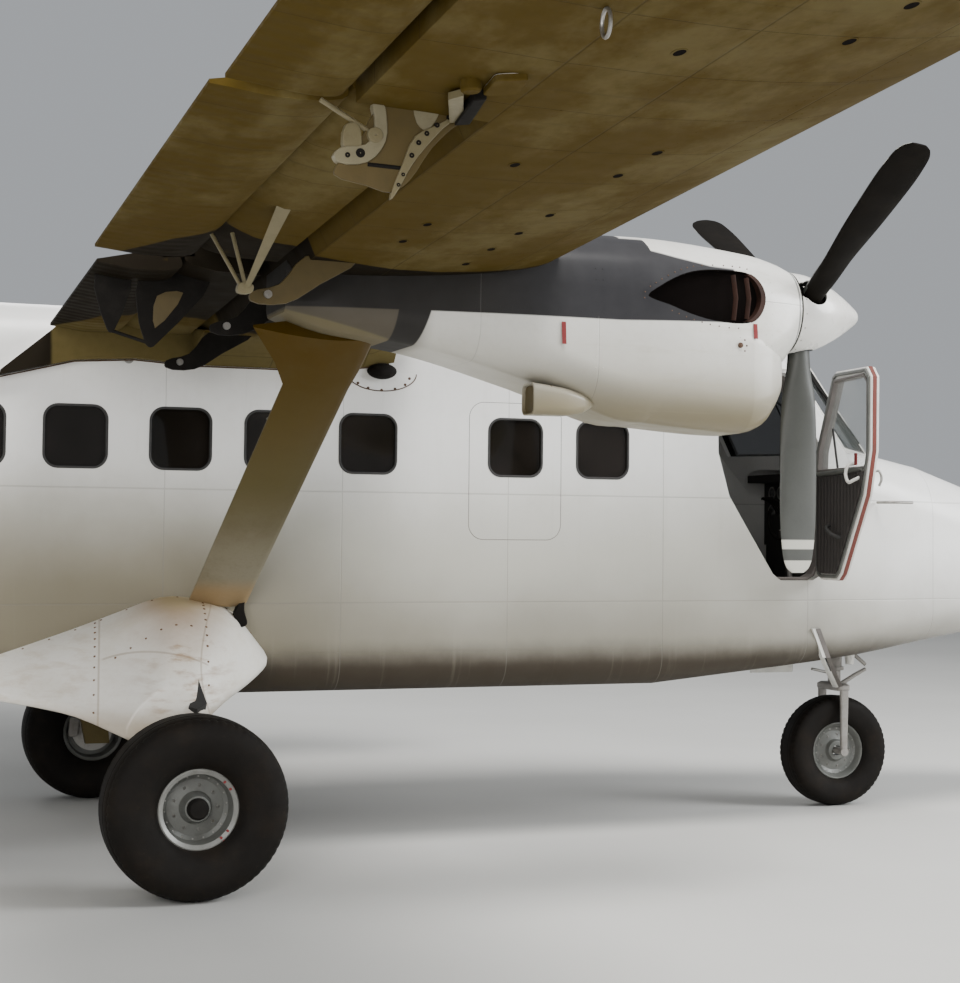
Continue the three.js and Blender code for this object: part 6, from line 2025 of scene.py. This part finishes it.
def small_parts():
    """Pitot tubes, aerials, beacon, vents, the wing root's trim, and the steps on the struts."""
    pitot = spline([(4.37, -0.83, 1.97), (4.38, -0.90, 1.97), (4.42, -0.93, 1.97), (4.56, -0.93, 1.97)], 4)
    pitot = tube(pitot, 0.009, 10)
    piece("pitot_right", pitot, "steel")
    piece("pitot_left", flipped(pitot), "steel")
    piece("belly_antenna", vane(0.012, (1.02, 4.24, 3.91), (0.872, 4.23, 3.92)), "white", bevel=0.001)
    below = [
        vane(0.008, (0.965, x + 0.06, x - 0.05), (low, x, x - 0.05))
        for x, low in ((3.35, 0.84), (3.68, 0.885), (-1.6, 0.80))
    ]
    piece("belly_blades", together(*below), "black")
    above = [vane(0.010, (2.94, x + 0.10, x - 0.10), (3.16, x - 0.02, x - 0.12)) for x in (2.3, -1.7, -3.6)]
    piece("roof_blades", together(*above), "white")
    beacon = [(0.001, 0.0), (0.06, 0.0), (0.058, 0.03), (0.045, 0.06), (0.001, 0.075)]
    piece("roof_beacon", lathe(beacon, (-2.4, 0, 2.948), 28, "z"), "lamp_red")
    ring = [(0.012, -0.002), (0.026, -0.002), (0.026, 0.004), (0.012, 0.004)]
    vents = together(*[lathe(ring, (x, -HALF, z), 20) for x, z in ((2.62, 2.68), (-0.2, 2.66))])
    piece("side_vents", together(vents, flipped(vents)), "steel")
    x0, z0 = 1.18, 2.64
    def arc(y, z, radius, other, first, last, count):
        return [
            (x0 + radius * math.cos(a), y, z + other * math.sin(a))
            for a in np.linspace(math.pi * first, math.pi * last, count)
        ]
    bolts = domes(arc(-HALF, z0 - 0.02, 0.16, 0.075, 1.02, 1.98, 7), (0, -1, 0), 0.009, 0.4, 8, 2)
    edge = tube(arc(-HALF - 0.001, z0, 0.20, 0.10, 1, 2, 25), 0.003, 6)
    piece("wing_root_arc", both(together(edge, bolts)), "screw")
    rings = []
    for b in np.linspace(-0.2, 1.5, 8):
        ring = circle(x0, z0 + 0.01, 0.085 * math.cos(b), 24, other=0.045 * math.cos(b))
        rings.append([(u, HALF + 0.06 * math.sin(b), v) for u, v in ring])
    piece("wing_root_domes", both(loft(rings)), "black", slot="dark_panel")
    rail = tube([(3.3, HALF + 0.001, 2.765), (3.74, HALF + 0.001, 2.765)], 0.006, 8)
    piece("drip_rails", both(rail), "white")
    line = [
        (-0.85, 2.54), (-0.48, 2.635), (-0.17, 2.655), (0.12, 2.635), (0.60, 2.635), (1.0, 2.65),
        (1.22, 2.69),
    ]
    seam = tube([(x, HALF + 0.002, z) for x, z in line], 0.004, 6)
    piece("wing_root_seam", both(seam), "screw")
    step = spline([(0.30, 1.98, 2.30), (0.34, 2.02, 2.24), (0.38, 2.0, 2.245), (0.36, 1.95, 2.29)], 4)
    pair("strut_step", tube(step, 0.008, 8), "rim")


# Stage, light and camera; each lamp's row: name, place, target, size, power, colour

LAMPS = [
    ("key", (5.0, -9.0, 19.0), (1.5, -1.0, 1.0), 9.0, 4600, (1.0, 0.98, 0.95)),
    ("front", (15.0, -8.0, 7.0), (4.0, -1.0, 2.0), 7.0, 2300, (0.96, 0.98, 1.0)),
    ("side", (-4.0, -15.0, 5.0), (0.0, -2.0, 1.0), 7.0, 1300, (1.0, 0.98, 0.96)),
    ("far", (2.0, 14.0, 12.0), (0.0, 0.0, 2.0), 9.0, 900, (1.0, 1.0, 1.0)),
]
# The camera's place, its angles in degrees, its focal length and the picture's centre in pixels
CAMERA = {"place": (-0.2664, -10.9349, 1.7374), "yaw": 21.8176, "pitch": 2.3634, "roll": 0.4804,
          "focal_px": 1880.8, "centre_px": (578, 460)}
PHOTO = (960, 983)


def stage():
    """The floor, the sky's light and the four lamps."""
    reach = 80
    corners = [(-reach, -reach), (reach, -reach), (reach, reach), (-reach, reach)]
    floor = to_object("floor", ([(x - MID, y, 0) for x, y in corners], [(0, 1, 2, 3)]))
    p = Paint("pale_floor", Roughness=0.85)
    p.colour = p.mix(p.spots(0.3, 0.7, 0.4, 3.0), (0.55, 0.545, 0.52), (0.58, 0.575, 0.55))
    floor.data.materials.append(p.done())
    world = bpy.data.worlds.new("studio")
    bpy.context.scene.world = world
    world.use_nodes = True
    background = world.node_tree.nodes["Background"]
    background.inputs["Color"].default_value = (0.86, 0.90, 0.95, 1)
    background.inputs["Strength"].default_value = 0.46
    for name, spot, target, size, power, colour in LAMPS:
        lamp = bpy.data.lights.new(name, "AREA")
        lamp.shape = "DISK"
        lamp.size, lamp.energy, lamp.color = size, power, colour
        obj = linked(name, lamp)
        obj.location = spot
        obj.rotation_euler = (Vector(target) - Vector(spot)).to_track_quat("-Z", "Y").to_euler()


def camera():
    """The photo's camera, its centre moved by the lens shift."""
    yaw, pitch, roll = (math.radians(CAMERA[k]) for k in ("yaw", "pitch", "roll"))
    ahead = Vector((math.sin(yaw) * math.cos(pitch), math.cos(yaw) * math.cos(pitch), math.sin(pitch)))
    right = Vector((math.cos(yaw), -math.sin(yaw), 0))
    up = right.cross(ahead)
    turned_right = right * math.cos(roll) + up * math.sin(roll)
    turned_up = up * math.cos(roll) - right * math.sin(roll)
    data = bpy.data.cameras.new("camera")
    obj = linked("camera", data)
    rotation = Matrix((turned_right, turned_up, -ahead)).transposed().to_4x4()
    obj.matrix_world = Matrix.Translation(CAMERA["place"]) @ rotation
    long_side = max(PHOTO)
    centre_x, centre_y = CAMERA["centre_px"]
    data.sensor_width = 36
    data.lens = CAMERA["focal_px"] * data.sensor_width / long_side
    data.shift_x = (PHOTO[0] / 2 - centre_x) / long_side
    data.shift_y = (centre_y - PHOTO[1] / 2) / long_side
    data.clip_end = 300
    bpy.context.scene.camera = obj


camera()
stage()
nose_forms()
cockpit_forms()
front_doors()
cabin_forms()
fuselage_rivets()
seats()
flight_deck()
tail_forms()
wing_forms()
nacelle_forms()
strut_forms()
main_wheels()
nose_gear()
propeller_forms()
small_parts()
